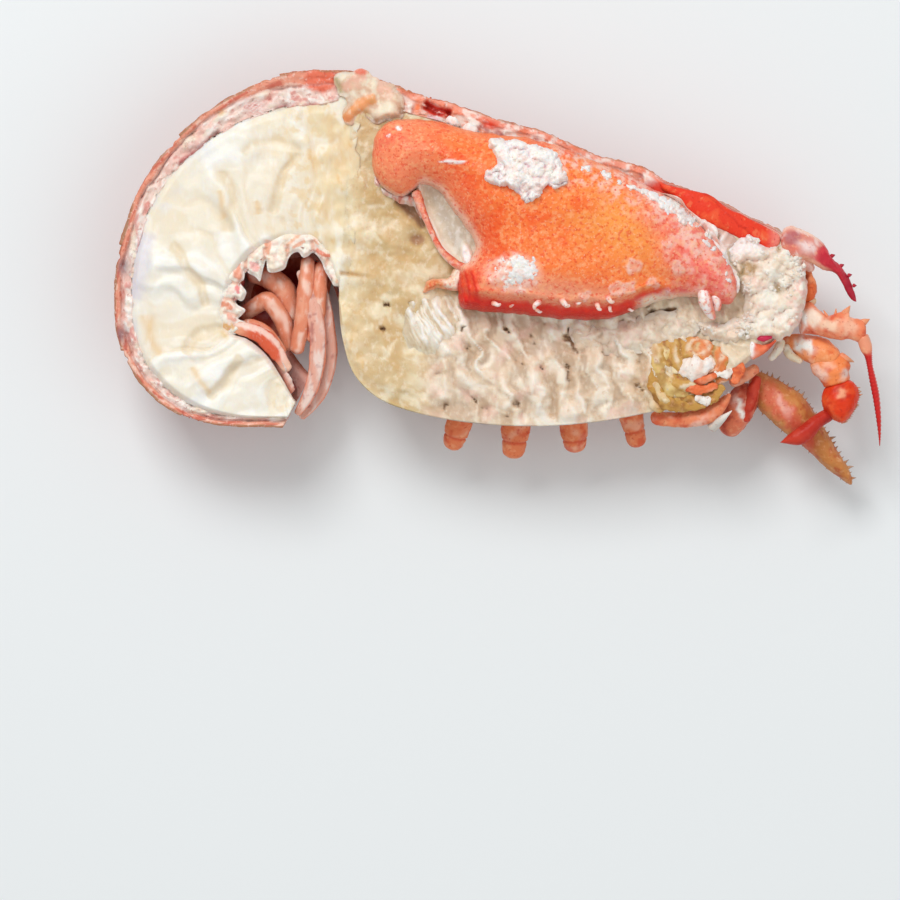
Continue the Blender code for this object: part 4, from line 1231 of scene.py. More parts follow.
def fan_paint(p, share, turn):
    """A folded tail-fan blade: pale pink, fluted lengthwise, red at its edges."""
    rise = 0.16 * np.cos(6 * turn + 3 * share) + 0.2 * fractal(p, 3, 3, 151)
    tint = coat(
        p, (0.8, 0.42, 0.32), (BLUSH, patches(p, (2, 8, 2), 3, 152, -0.1, 0.4)),
        (CORAL, 0.8 * smooth(np.abs(np.cos(turn)), 0.82, 1)),
        (WINE, 0.5 * patches(p, 2.4, 3, 153, 0.25, 0.6)),
        # Painted shade on the underside.
        (DEEP_RED, 0.7 * smooth(-np.sin(turn), 0.2, 0.8)))
    return rise, tint


FAN_BLADES = [[(-56.4, -38, 25), (-52.4, -31, 26), (-50.4, -21, 27), (-51.4, -9, 27.4), (-55.6, 2.6, 26)],
              [(-55.4, -39, 21), (-50, -32, 22), (-47.4, -22, 23), (-48.4, -10, 24), (-50.2, 2, 23.4)]]
SWIMMERS = [
    ([(-53.2, 6.5, 24.5), (-53.6, 0, 26.4), (-54.6, -10, 26.6), (-56.5, -21, 25)], [1.9, 2.2, 2.3, 2.0]),
    ([(-49.4, 5.0, 24), (-49.8, -1, 26), (-50.4, -9, 26.2), (-52.0, -18, 25)], [1.7, 2.1, 2.2, 1.9]),
    ([(-70.4, 1.6, 19), (-64.5, 0.6, 21.5), (-59.8, -3.2, 22.5), (-57.6, -12, 22)], [2.0, 3.0, 3.1, 2.2]),
    ([(-72.4, -10.4, 20), (-68.0, -7.4, 22.6), (-64.2, -6.2, 24.4), (-60.2, -12, 24), (-58.4, -20, 22.5)],
     [1.8, 2.4, 2.6, 2.5, 1.9]),
    ([(-74.4, -14.6, 25.5), (-69.6, -12.9, 27), (-64.6, -15.2, 27), (-60.0, -21, 26)],
     [1.5, 1.8, 1.9, 1.4])]


def build_tail():
    for k in range(TAIL_RINGS):
        start = k / TAIL_RINGS - (0.014 if k else 0)
        form = shell_strip(
            TAIL, start, (k + 1) / TAIL_RINGS, 76, RING_FLARE, tail_rim, tail_side, tuck=0.5 if k else 0)
        piece(f"tail_ring_shell_{k + 1}", form, RIM, f"tail_ring_{k + 1}")
    piece("tail_muscle", flesh_strip(TAIL, 400, 130, BELLY_WALL - 0.5, tail_top, 2.4), MEAT, "tail_meat")
    piece("curl_wall", belly_wall(), SKIN, "belly_plate")
    piece("curl_torn_edge", curl_lip(), SKIN)
    piece("curl_tissue", mound(CURL_BED, 0.9, 1.0, curl_floor), SKIN)
    for k, path in enumerate(FAN_BLADES):
        piece(f"folded_fan_{k + 1}", limb(path, [0.9, 1.8, 2.2, 2.3, 1.1], fan_paint, squash=0.5), SKIN,
              f"fan_blade_{k + 1}")
    for k, (path, wide) in enumerate(SWIMMERS):
        piece(f"swimming_leg_{k + 1}", limb(path, wide, swimmer_paint, 36, 90, 0.8), SKIN,
              f"swimmer_{k + 1}")


# The trunk.

TORN_SLITS = [
    ([(-13, -10), (-12.5, -13), (-13.2, -16)], 0.45), ([(-12, -10.2), (-10.8, -12)], 0.4),
    ([(-9.8, -13.2), (-10.8, -15)], 0.35), ([(18, -15.8), (20.6, -17.6), (22.6, -21.2)], 0.7),
    ([(19.6, -13.6), (21, -17)], 0.4), ([(29.4, -20.2), (30.4, -21.4)], 0.5),
    ([(42.4, -9.8), (46, -10), (50.6, -8.4)], 1.0), ([(-32, -7.2), (-30.2, -7.4)], 0.5),
    ([(-24.4, -7.6), (-24, -6.6)], 0.4), ([(-20.8, -8.6), (-20, -7.6)], 0.4),
    ([(-32.8, -14.2), (-31.6, -14)], 0.6), ([(2.2, -14.6), (3, -14.2)], 0.9),
    ([(37.6, -16.4), (38, -15.2)], 0.9), ([(43, -18.9), (43.8, -18.6)], 0.5)]


def body_slits(x, y):
    """How deep the torn slits and pits of the body flesh are; the same mask paints shade into them."""
    dark = np.zeros_like(x)
    for path, wide in TORN_SLITS:
        dark = np.maximum(dark, streak(x, y, path, wide))
    return dark


def body_top(x, y, share, across, v):
    """The body flesh: soft and yellowish by the tail, crumpled wet membranes below the claw."""
    p = flat(x, y)
    bent = p + 2.4 * np.stack([fractal(p, 8, 3, 51), fractal(p, 8, 3, 52), 0 * x], -1)
    torn = smooth(-y, 3, 9) * smooth(x, -24, -14)
    lean = np.stack([bent[:, 0] + 0.3 * bent[:, 1], bent[:, 1] - 0.25 * bent[:, 0], 0 * x], -1)
    crests = ridged(lean, (4.6, 13, 1), 53)
    drape = 0.5 * crests + 0.5 * patches(lean, (3.4, 9, 1), 3, 61, -0.5, 0.5)
    dark = body_slits(x + 0.8 * fractal(p, 1.5, 2, 58), y + 0.6 * fractal(p, 1.5, 2, 59))
    # Gaps between the drapes are dug in and darkened along with the slits: painted shade.
    gap = patches(lean, (2.4, 6, 1), 3, 60, 0.42, 0.56) * torn * smooth(-drape, -0.4, -0.2)
    dark = np.maximum(dark, 0.6 * gap)
    hollow = np.maximum(
        streak(x, y, [(-28.4, 23), (-25, 20), (-22, 17.4), (-19.6, 14.6)], 1.7),
        spot(x, y, (-22.4, 11), 2.2, 1.6))
    edge = smooth(v, 0, 0.04) * smooth(1 - v, 0, 0.05)
    rise = 0.8 + 1.9 * fractal(p, 13, 2, 41) + 0.7 * fractal(bent, 4.6, 3, 48)
    rise += torn * 2.6 * (drape - 0.4) + 0.06 * fractal(p, 1.2, 2, 49)
    rise = edge * (rise - 2.4 * dark) - 2.4 * hollow - 0.5 * smooth(-v, -0.02, 0)
    tint = coat(
        x, (0.68, 0.51, 0.28), ((0.84, 0.72, 0.5), patches(bent, (9, 5, 1), 3, 45, -0.05, 0.4)),
        ((0.66, 0.44, 0.2), 0.75 * patches(bent, (6, 5, 1), 3, 46, 0.05, 0.4)),
        # Darker olive-brown below the claw's knob: the flesh's own tone, deepened by painted shade under
        # the knob.
        ((0.54, 0.36, 0.14), 0.75 * spot(x, y, (-29, 21), 8, 13) * patches(bent, 5, 3, 55, -0.35, 0.3)),
        ((0.62, 0.4, 0.17), 0.5 * spot(x, y, (-25, 6), 9, 9) * patches(p, 4, 3, 62, -0.1, 0.4)),
        ((0.78, 0.62, 0.46), 0.95 * torn),
        ((0.88, 0.78, 0.64), torn * patches(bent, 5, 3, 54, -0.1, 0.35)),
        # Painted shade in the hollows of the drapes and painted highlights on their crests.
        ((0.54, 0.37, 0.24), 0.75 * torn * smooth(-drape, -0.42, -0.15)),
        ((0.94, 0.88, 0.78), 0.8 * torn * smooth(drape, 0.5, 0.9)),
        ((0.84, 0.56, 0.46), 0.55 * torn * patches(bent, 6, 2, 56, 0.15, 0.45)),
        ((0.8, 0.66, 0.48), 0.7 * smooth(x, 38, 48)),
        ((0.6, 0.42, 0.26), 0.8 * streak(x, y, [(68.2, -6), (67, -1.5), (65.2, 2.2)], 1.6)),
        # Painted shade in the dug hollow, and in the slits and gaps.
        ((0.46, 0.25, 0.15), 0.9 * smooth(hollow, 0.2, 0.7)),
        ((0.3, 0.15, 0.07), 0.95 * smooth(dark, 0.25, 0.75)),
        (GOLD, 0.4 * smooth(x, 34, 46) * smooth(-y, 22, 30)))
    over = smooth(-x - 0.07 * y, 34, 41)
    level, shade = bridge(x, y)
    return rise * (1 - over) + edge * level * over, tinted(tint, shade, over)


def trunk_rim(x, y, share, across, w):
    """The back shell's cut rim: a red pit and white lumps behind, smooth bright red in front."""
    p = flat(x, y)
    along = np.stack([share * STRIP_RUN, across, 0 * x], -1)
    bent = fractal(along, (6, 3, 1), 2, 161)
    shell = smooth(-across - 0.7 * bent, -2.3, -1.6)
    front = smooth(x + 1.2 * across, 44, 49)
    pit = streak(x, y, [(-21, 49.2), (-17.4, 47), (-12.6, 46.2)], 1.3)
    pit = pit * patches(p, 1.6, 2, 169, -0.7, 0.1)
    blobs = spot(x, y, (-25.6, 53.4), 2.4, 1.3, -15)
    red_bit = spot(x, y, (-2, 43.2), 2.6, 1.2, -18)
    crust = lumps(p, 1.5, 162) * patches(p, 4, 3, 163, -0.2, 0.3)
    bumps = 0.4 + 0.7 * crust * (1 - shell) * (1 - front) + 0.35 * fractal(p, 1.8, 3, 164) * (1 - front)
    bumps += 0.5 * shell * (1 - front) - 2.6 * pit + 1.3 * blobs + 0.3 * front * (1 - w)
    bumps -= 0.7 * np.exp(-((across - 0.9) / 0.3) ** 2) * front
    bumps -= 0.6 * smooth(-w, -1.0, -0.94)
    tint = coat(
        x, BLUSH, (SALMON, patches(along, (5, 2, 1), 3, 165, -0.05, 0.3)),
        (WARM_WHITE, 0.9 * smooth(crust, 0.55, 0.85)), (DEEP_RED, 0.6 * patches(p, 3, 3, 166, 0.3, 0.55)),
        (CORAL, 0.75 * shell), (WARM_WHITE, 0.7 * shell * patches(p, 2.2, 3, 167, 0.1, 0.45)),
        (BRIGHT_RED, 0.9 * red_bit), (BRIGHT_RED, front),
        (ORANGE, 0.4 * front * patches(p, 2.6, 3, 168, 0.2, 0.6)),
        (BLUSH, front * smooth(-across, -1.4, -0.8) * 0.9),
        ((0.82, 0.56, 0.62), 0.8 * streak(x, y, [(-20, 45.4), (-16, 44)], 1.1)),
        ((0.86, 0.28, 0.15), smooth(blobs, 0.35, 0.7)), ((0.66, 0.05, 0.03), smooth(pit, 0.15, 0.5)),
        (DEEP_RED, smooth(pit, 0.5, 0.85)), (ORANGE, spot(x, y, (-22.4, 48), 1.2, 2.2, -15)),
        (BLUSH, 0.8 * smooth(x, 76, 80)), (BROWN, 0.7 * smooth(-across, -0.5, 0.0)))
    return bumps, tint


def trunk_side(p, share, angle):
    """The back shell's outside: rough red, with the neck groove and paler belly edge."""
    groove = np.exp(-((share - 0.5 + 0.13 * angle + 0.01 * noise(p, 9, 171)) / 0.012) ** 2)
    gill_line = np.exp(-((angle - 0.16) / 0.03) ** 2) * smooth(-share, -0.45, -0.4)
    groove = groove * smooth(angle, 0.05, 0.3) * smooth(-angle, -1.5, -1.2)
    proud = 0.25 * fractal(p, 1.4, 3, 172) + 0.35 * noise(p, 5, 173) - 1.2 * groove - 0.3 * gill_line
    proud = proud + 0.3 * noise(p, 1.2, 174) * smooth(-angle, -0.3, 0)
    tint = coat(
        p, SHELL_RED, (CORAL, patches(p, 8, 4, 175, -0.1, 0.5)),
        (BRIGHT_RED, 0.6 * smooth(share, 0.5, 0.8)), (DEEP_RED, 0.65 * patches(p, 4, 3, 176, 0.1, 0.6)),
        (SALMON, 0.8 * smooth(angle, 1.3, 2.1)), (BLUSH, 0.6 * smooth(angle, 1.9, 2.35)),
        (DEEP_RED, 0.8 * groove), (BROWN, 0.4 * smooth(-angle, -0.1, 0)))
    return proud, tint


def side_host(half, low, high, near, far, grow):
    """The outside of a half between shares and angles, for warts to stand on."""
    rows, columns = 90, 40
    share = np.linspace(low, high, rows)[:, None]
    angle = np.linspace(near, far, columns)[None]
    a, h = half.skin(share, angle, 0.05)
    x, y = half.plan(np.broadcast_to(share, a.shape), a)
    r, k = np.meshgrid(np.arange(rows - 1), np.arange(columns - 1), indexing="ij")
    n = (r * columns + k).ravel()
    quads = np.stack([n, n + columns, n + columns + 1, n + 1], -1)
    points = np.stack([x, y, np.maximum(h, 0.1)], -1).reshape(-1, 3)
    face = np.cross(points[quads[0, 1]] - points[quads[0, 0]], points[quads[0, 3]] - points[quads[0, 0]])
    if face[1] < 0:
        quads = quads[:, ::-1]
    weights = grow(
        points, np.broadcast_to(share, a.shape).ravel(), np.broadcast_to(angle, a.shape).ravel())
    return points, [quads], {"grow": weights}


def warts(half, low, high, seed, per_area):
    """Fine rounded warts over a shell's outside, thinner towards the belly."""
    host = side_host(
        half, low, high, 0.03, math.pi / 2 + 0.2,
        lambda p, s, a: np.clip((0.6 + 0.6 * noise(p, 7, seed)) * smooth(-a, -1.9, -1.1), 0, 1))
    form = grown(SCATTER, host, RIM, granule(SHELL_RED, SALMON), Per_Area=per_area, Gap=0.7,
                 Smallest=0.14, Largest=0.42, Lean=0.2, Turn=6.0, Seed=seed)
    return form


GILL_BED = [(-27.4, -5), (-22.6, -2.4), (-14.6, -3.4), (-9.4, -8.6), (-9.8, -15.6), (-13.6, -21),
            (-20.6, -21.6), (-26.4, -18.6), (-28.6, -12.6)]


def gill_tuft():
    """Soft white threads of gill that run down through the flesh under the claw."""
    def top(x, y, away):
        p = flat(x, y)
        across = 0.87 * x + 0.5 * y + 0.9 * fractal(p, 6, 2, 641)
        strand = patches(
            np.stack([across, 0.12 * (0.87 * y - 0.5 * x), 0 * x], -1), 1.0, 2, 642, -0.3, 0.35)
        swell = patches(p, (4, 7, 1), 2, 643, -0.4, 0.3)
        bed = smooth(away, 0.4, 4.6)
        rise = bed * (1.3 + 1.0 * swell + 0.45 * strand * (0.3 + swell)) + 0.2
        # White threads, with painted shade between them.
        return rise, coat(x, (0.8, 0.68, 0.5), ((0.94, 0.91, 0.86), bed * strand * (0.5 + 0.5 * swell)),
                          ((0.6, 0.44, 0.28), 0.5 * smooth(-strand, -0.25, 0)))
    return mound(GILL_BED, 0.26, CUT - 0.2, top, rough=0.6)


WET_LUMPS = [(20, -12.8), (31, -12.6), (40, -10.4), (50, -8.4), (56, -9.6), (57, -14), (52, -18),
             (43, -20), (34, -22), (24, -20)]


def wet_lump_top(x, y, away):
    """Soft lumps of wet flesh below the claw's tip."""
    p = flat(x, y)
    lump = pads(p + 0.8 * noise(p, 3, 647)[:, None], 5.6, 641)
    rise = smooth(away, 0, 3.4) * (0.6 + 2.0 * lump + 1.2 * fractal(p, 8, 3, 645))
    # Painted highlights on the lumps and painted shade between them.
    tint = coat(
        x, (0.76, 0.6, 0.46), ((0.87, 0.76, 0.62), smooth(lump, 0.35, 0.7)),
        ((0.5, 0.34, 0.22), 0.8 * smooth(-lump, -0.32, -0.12)),
        ((0.82, 0.6, 0.5), 0.6 * patches(p, 4, 3, 646, 0.05, 0.35)))
    return rise, tint


def clotted(outline, base, per_area, depth, sizes, fineness, seed, grow):
    """Grains run together over an area, coarse and fine, as dense as grow(x, y, away) says."""
    forms = []
    for k, (low, high, share) in enumerate(sizes):
        host = host_patch(outline, 1.0, base, lambda x, y, away: smooth(away, 0.5 * high, 1.4 * high)
                          * grow(x, y, away))
        forms.append(grown(CRUMBS, host, WHITE_CURD, Per_Area=per_area * share, Depth=depth, Smallest=low,
                           Largest=high, Fineness=fineness / FINE, Seed=seed + k)[:2])
    return joined([(points, faces, plain(WHITE, len(points))) for points, faces in forms])


SOCKET_SKIN = [(43, -19), (52, -16.5), (60, -18), (67.5, -22), (67, -25.5), (60.5, -30.5), (51, -35),
               (43.5, -36.5), (41.5, -28)]


def socket_top(x, y, away):
    """Golden brown skin folds of the leg sockets."""
    p = flat(x, y)
    bent = p + 2.4 * np.stack([fractal(p, 6, 3, 201), fractal(p, 6, 3, 202), 0 * x], -1)
    arcs = np.abs(np.sin(np.hypot(bent[:, 0] - 57, bent[:, 1] + 19) * 0.62))
    red = smooth(x + 0.4 * y, 44, 50)
    rise = smooth(away, 0, 2.4) * (0.6 + 1.3 * arcs + 1.4 * fractal(p, 5, 3, 203))
    rise += 0.12 * fractal(p, 1, 3, 204)
    tint = coat(
        x, (0.6, 0.34, 0.09), ((0.8, 0.62, 0.34), 0.9 * patches(bent, (3.6, 6, 1), 3, 205, -0.05, 0.35)),
        # Painted shade in the troughs of the folds.
        ((0.34, 0.14, 0.04), 0.8 * smooth(-arcs, -0.35, -0.1)),
        ((0.78, 0.2, 0.06), 0.85 * red * smooth(arcs, 0.2, 0.6)),
        # Painted highlights on the crests of the folds.
        ((0.9, 0.8, 0.62), 0.7 * smooth(arcs, 0.8, 0.97) * patches(p, 3, 2, 206, -0.2, 0.3)),
        ((0.78, 0.62, 0.44), 0.8 * smooth(-x, -46, -42)))
    return rise, tint


SOCKET_BANDS = [
    ([(47.8, -19.4), (45.2, -22.8), (45.6, -27), (48.6, -30.6), (53.4, -32.4)], [1.2, 2.0, 1.6, 2.2, 1.2],
     0),
    ([(44.4, -24.6), (43.8, -30), (47.4, -34.4), (52.4, -35.6), (58.6, -35)], [1.2, 1.7, 2.2, 1.6, 1.0],
     2),
    ([(49.6, -30.4), (54, -33.8), (59.4, -33.2), (63.4, -30)], [0.8, 1.5, 1.8, 1.0], 2),
    ([(50.8, -19.4), (49.4, -22.8), (50.2, -26.6)], [0.8, 1.5, 0.8], 1),
    ([(52.4, -29.6), (56, -31.2), (61.6, -29.8)], [0.9, 1.3, 0.9], 3),
    ([(55.2, -33), (58, -34), (60.8, -31.8)], [0.7, 1.3, 0.6], 4),
    ([(61.8, -20.8), (64, -24), (63.4, -28.6)], [1.0, 1.7, 1.0], 5),
    ([(65.8, -21.6), (67.4, -25), (66, -29.6)], [0.9, 1.6, 1.0], 3),
    ([(60.4, -26.4), (64, -26.6), (67, -24.6)], [0.7, 1.1, 0.7], 4)]

# Base, pale and dark colours for limb_paint; the dark one gives dark mottles and the painted shade
# underneath.
SOCKET_LOOKS = [
    ((0.76, 0.54, 0.2), (0.9, 0.78, 0.52), (0.4, 0.2, 0.05)),
    ((0.84, 0.7, 0.44), (0.95, 0.88, 0.72), (0.56, 0.34, 0.12)),
    ((0.56, 0.3, 0.07), (0.76, 0.52, 0.2), (0.28, 0.11, 0.03)),
    ((0.82, 0.18, 0.06), (0.93, 0.46, 0.28), (0.46, 0.05, 0.02)),
    ((0.9, 0.84, 0.76), WHITE, (0.66, 0.48, 0.38)),
    ((0.88, 0.36, 0.18), (0.95, 0.7, 0.54), (0.6, 0.14, 0.06))]


def socket_parts():
    """Bent golden bands of skin round a white knob of meat in the leg socket."""
    forms = []
    for k, (path, wide, look) in enumerate(SOCKET_BANDS):
        spots = [(x, y, CUT + 1.4 + 0.9 * math.sin(1.7 * k + n)) for n, (x, y) in enumerate(path)]
        base, pale, dark = SOCKET_LOOKS[look]
        forms.append(limb(spots, wide, limb_paint(base, pale, dark, 660 + k, (), 2.6, 0.5), 32, 80, 0.45))
    knob = limb_paint((0.92, 0.84, 0.76), WHITE, (0.86, 0.56, 0.44), 671, (), 4.0, 0.6)
    forms.append(limb([(51.4, -22.8, 31), (53.8, -24.8, 32.2), (57.4, -24.6, 32.6), (60.8, -22.6, 31)],
                      [1.2, 3.4, 2.6, 1.0], knob, 40, 70, 0.55))
    forms.append(limb([(53.4, -27.4, 32), (57, -28.4, 32.6), (61.8, -26.6, 32)], [0.7, 1.2, 0.8],
                      limb_paint(*SOCKET_LOOKS[3], 672, (), 1.2, 0.5), 26, 60, 0.7))
    return joined(forms)


JOINT_PAD = [
    (-46, 55.8), (-44, 58), (-41.4, 57.6), (-39.4, 59.2), (-36.4, 58.4), (-34.6, 56.4), (-30.6, 55.2),
    (-28, 52.8), (-26.4, 49.6), (-26.6, 45.4), (-30, 44), (-34.6, 43.6), (-38, 45.4), (-41.6, 43),
    (-43.4, 45.4), (-42.4, 50), (-44.6, 52.6)]


def joint_top(x, y, away):
    """Knobs and straps where the tail meets the trunk."""
    p = flat(x, y)
    strap = streak(
        x + 0.9 * fractal(p, 4, 2, 214), y, [(-43, 44.2), (-41, 46), (-37.6, 48.8), (-33.4, 51)], 1.5)
    ball = spot(x, y, (-30.7, 47), 3.2, 3.2)
    knob = spot(x, y, (-38.4, 58.3), 2.6, 1.4, -15)
    cap = spot(x, y, (-43.8, 56.2), 2.2, 2.0)
    rise = smooth(away, 0, 2.2) * (0.9 + 1.0 * fractal(p, 6, 2, 211) + 0.7 * strap + 1.6 * ball
                                   + 0.6 * cap)
    rise += 0.9 * knob * smooth(away, 0, 0.5) + 0.1 * fractal(p, 1.6, 3, 212)
    tint = coat(
        x, (0.76, 0.5, 0.35), ((0.88, 0.72, 0.55), patches(p, 3.4, 3, 213, -0.05, 0.35)),
        ((0.86, 0.48, 0.36), 0.8 * patches(p, 4, 2, 215, 0.0, 0.35) * smooth(y, 49.6, 53)),
        ((0.88, 0.8, 0.62), 0.9 * smooth(ball, 0.35, 0.8)),
        ((0.86, 0.74, 0.58), 0.8 * smooth(cap, 0.4, 0.9)),
        ((0.86, 0.34, 0.12), 0.9 * smooth(strap + 0.3 * fractal(p, 2, 2, 216), 0.2, 0.7)),
        ((0.8, 0.22, 0.08), 0.8 * spot(x, y, (-42.4, 44.6), 1.6, 1.2)),
        ((0.56, 0.28, 0.08), 0.8 * spot(x, y, (-36.8, 46.6), 1.0)),
        ((0.6, 0.32, 0.12), 0.6 * spot(x, y, (-35, 49.8), 1.0)),
        ((0.78, 0.2, 0.13), smooth(knob, 0.3, 0.65)),
        ((0.42, 0.34, 0.16), 0.8 * streak(x, y, [(-45.6, 56.6), (-44.2, 53.4), (-44, 51.8)], 0.9)),
        ((0.36, 0.12, 0.06), 0.85 * spot(x, y, (-34.2, 44.2), 1.1)),
        ((0.32, 0.11, 0.05), 0.85 * streak(x, y, [(-26.8, 48), (-26.6, 46)], 0.8)))
    return rise, tint


def belly_skin(share, height, tint):
    """The belly side of the trunk: coral plates round the leg roots, creamy skin between them."""
    run = share * STRIP_RUN
    p = np.stack([run, height, 0 * share], -1)
    boss = np.zeros_like(share)
    for at, _, _, wide in LEG_STUBS:
        boss = np.maximum(boss, spot(run, height, (at * STRIP_RUN, 18.4), 1.25 * wide, 1.5 * wide))
    side = smooth(height, 10.5, 13.5) * smooth(-height, -29.4, -27)
    folds = fractal(p, (3.4, 7, 1), 3, 671)
    swell = side * (1.7 * smooth(boss, 0.15, 0.7) + 0.7 * folds)
    plate = smooth(boss + 0.25 * fractal(p, 3, 3, 672), 0.25, 0.6)
    # Besides the plates and skin: painted highlights on the raised folds and painted shade in the fold
    # hollows.
    return swell, painted(
        tint, ((0.86, 0.62, 0.5), 0.8 * side), ((0.93, 0.84, 0.74), 0.8 * side * smooth(folds, 0, 0.4)),
        ((0.84, 0.3, 0.17), 0.9 * side * plate),
        ((0.92, 0.6, 0.46), 0.8 * side * plate * patches(p, 2.6, 3, 673, 0, 0.4)),
        ((0.58, 0.16, 0.1), 0.7 * side * smooth(-folds, 0.25, 0.5)))


def build_trunk():
    piece("trunk_shell", shell_strip(BODY, 0, 1, 360, 0, trunk_rim, trunk_side), RIM, "back_shell")
    piece("trunk_flesh", flesh_strip(BODY, 360, 210, 0.5, body_top, 0.0, belly_skin), FLESH, "body_flesh")
    piece("shell_warts", joined([warts(BODY, 0.01, 0.99, 221, 0.5), warts(TAIL, 0.01, 0.99, 222, 0.25)]),
          RIM)
    piece("wet_flesh_lumps", mound(WET_LUMPS, 0.36, CUT + 0.2, wet_lump_top, rough=0.9), FLESH)
    piece("gill_threads", gill_tuft(), FLESH, "gill_tuft")
    piece("leg_socket_skin", mound(SOCKET_SKIN, 0.45, CUT + 0.6, socket_top, rough=0.8), LIMB,
          "leg_socket")
    piece("leg_socket_flaps", socket_parts(), LIMB)
    piece("joint_knobs", mound(JOINT_PAD, 0.36, CUT + 0.5, joint_top, rough=0.6), FLESH, "joint_pad")


# The claw.
CLAW_OUTLINE = [
    (-35, 35.5), (-33.5, 41), (-29.5, 44), (-24, 44.6), (-16, 43.8), (-5, 40.8), (6.5, 39.6), (17.5, 37),
    (26, 33.2), (34.5, 30), (42.5, 25.5), (50.5, 21.3), (55.5, 16.2), (59.5, 11.5), (63.2, 7), (66, 1.8),
    (67, -3), (65.4, -6.6), (62, -7), (58, -5.6), (51, -5.2), (44, -6.8), (37, -9.4), (30, -11.3),
    (17.5, -11.2), (6.5, -10), (-5, -9), (-10.6, -7.6), (-11, -1.5), (-10.6, 3.4), (-7.6, 5.4),
    (-6.2, 9.5), (-9, 14.5), (-12.5, 19), (-16, 24), (-20.5, 26.3), (-23.5, 24.8), (-26.8, 22.8),
    (-31.5, 25.3), (-34.4, 29.5)]
CLAW_MOUTH = [(-20.5, 26.3), (-16, 24), (-12.5, 19), (-9, 14.5), (-6.2, 9.5), (-7.6, 5.4), (-10.6, 3.4)]
CLAW_BAND = [(-10.6, -7.6), (-5, -9), (6.5, -10), (17.5, -11.2), (30, -11.3), (37, -9.4), (44, -6.8)]
CRUST_EDGE = [(21.5, 32), (29.5, 28.8), (41, 22.7), (47.7, 22), (55, 16), (60.6, 7.8), (64.5, 2.5)]
ROUND_BLOTCHES = [
    (33, -3.4, 2.6), (36.4, -3.2, 2.2), (37.6, 3.2, 2.8), (46.5, 9.2, 2.0), (54.4, 7.4, 2.4),
    (60.6, 4.4, 2.2), (50, 2.6, 2.2), (43, -1.4, 2.4), (24, -5.6, 1.8)]
CLAW_TEETH = [
    (-1.4, -7.0, 2.4, -0.4), (3.4, -8.0, 1.5, 0.6), (11.6, -6.6, 2.9, -2.4), (10.6, -8.8, 1.9, -0.6),
    (17.6, -6.2, 3.1, -0.9), (21.6, -7.4, 1.8, 0.3), (27.4, -7.2, 2.5, -1.2), (30.2, -5.4, 2.7, -0.9),
    (31.0, -8.0, 1.8, -1.4), (36.4, -8.6, 1.6, -0.5)]


def claw_height(x, away):
    """How high the claw stands above its base: a dome that falls towards its tip."""
    t = np.clip(away / 17, 0, 1)
    along = np.clip((x + 35) / 102, 0, 1)
    fall = 0.62 + 0.38 * np.sin(math.pi * np.minimum(along * 0.95 + 0.08, 1))
    return 15 * fall * (1 - (1 - t) ** 2.2) ** (1 / 2.2)


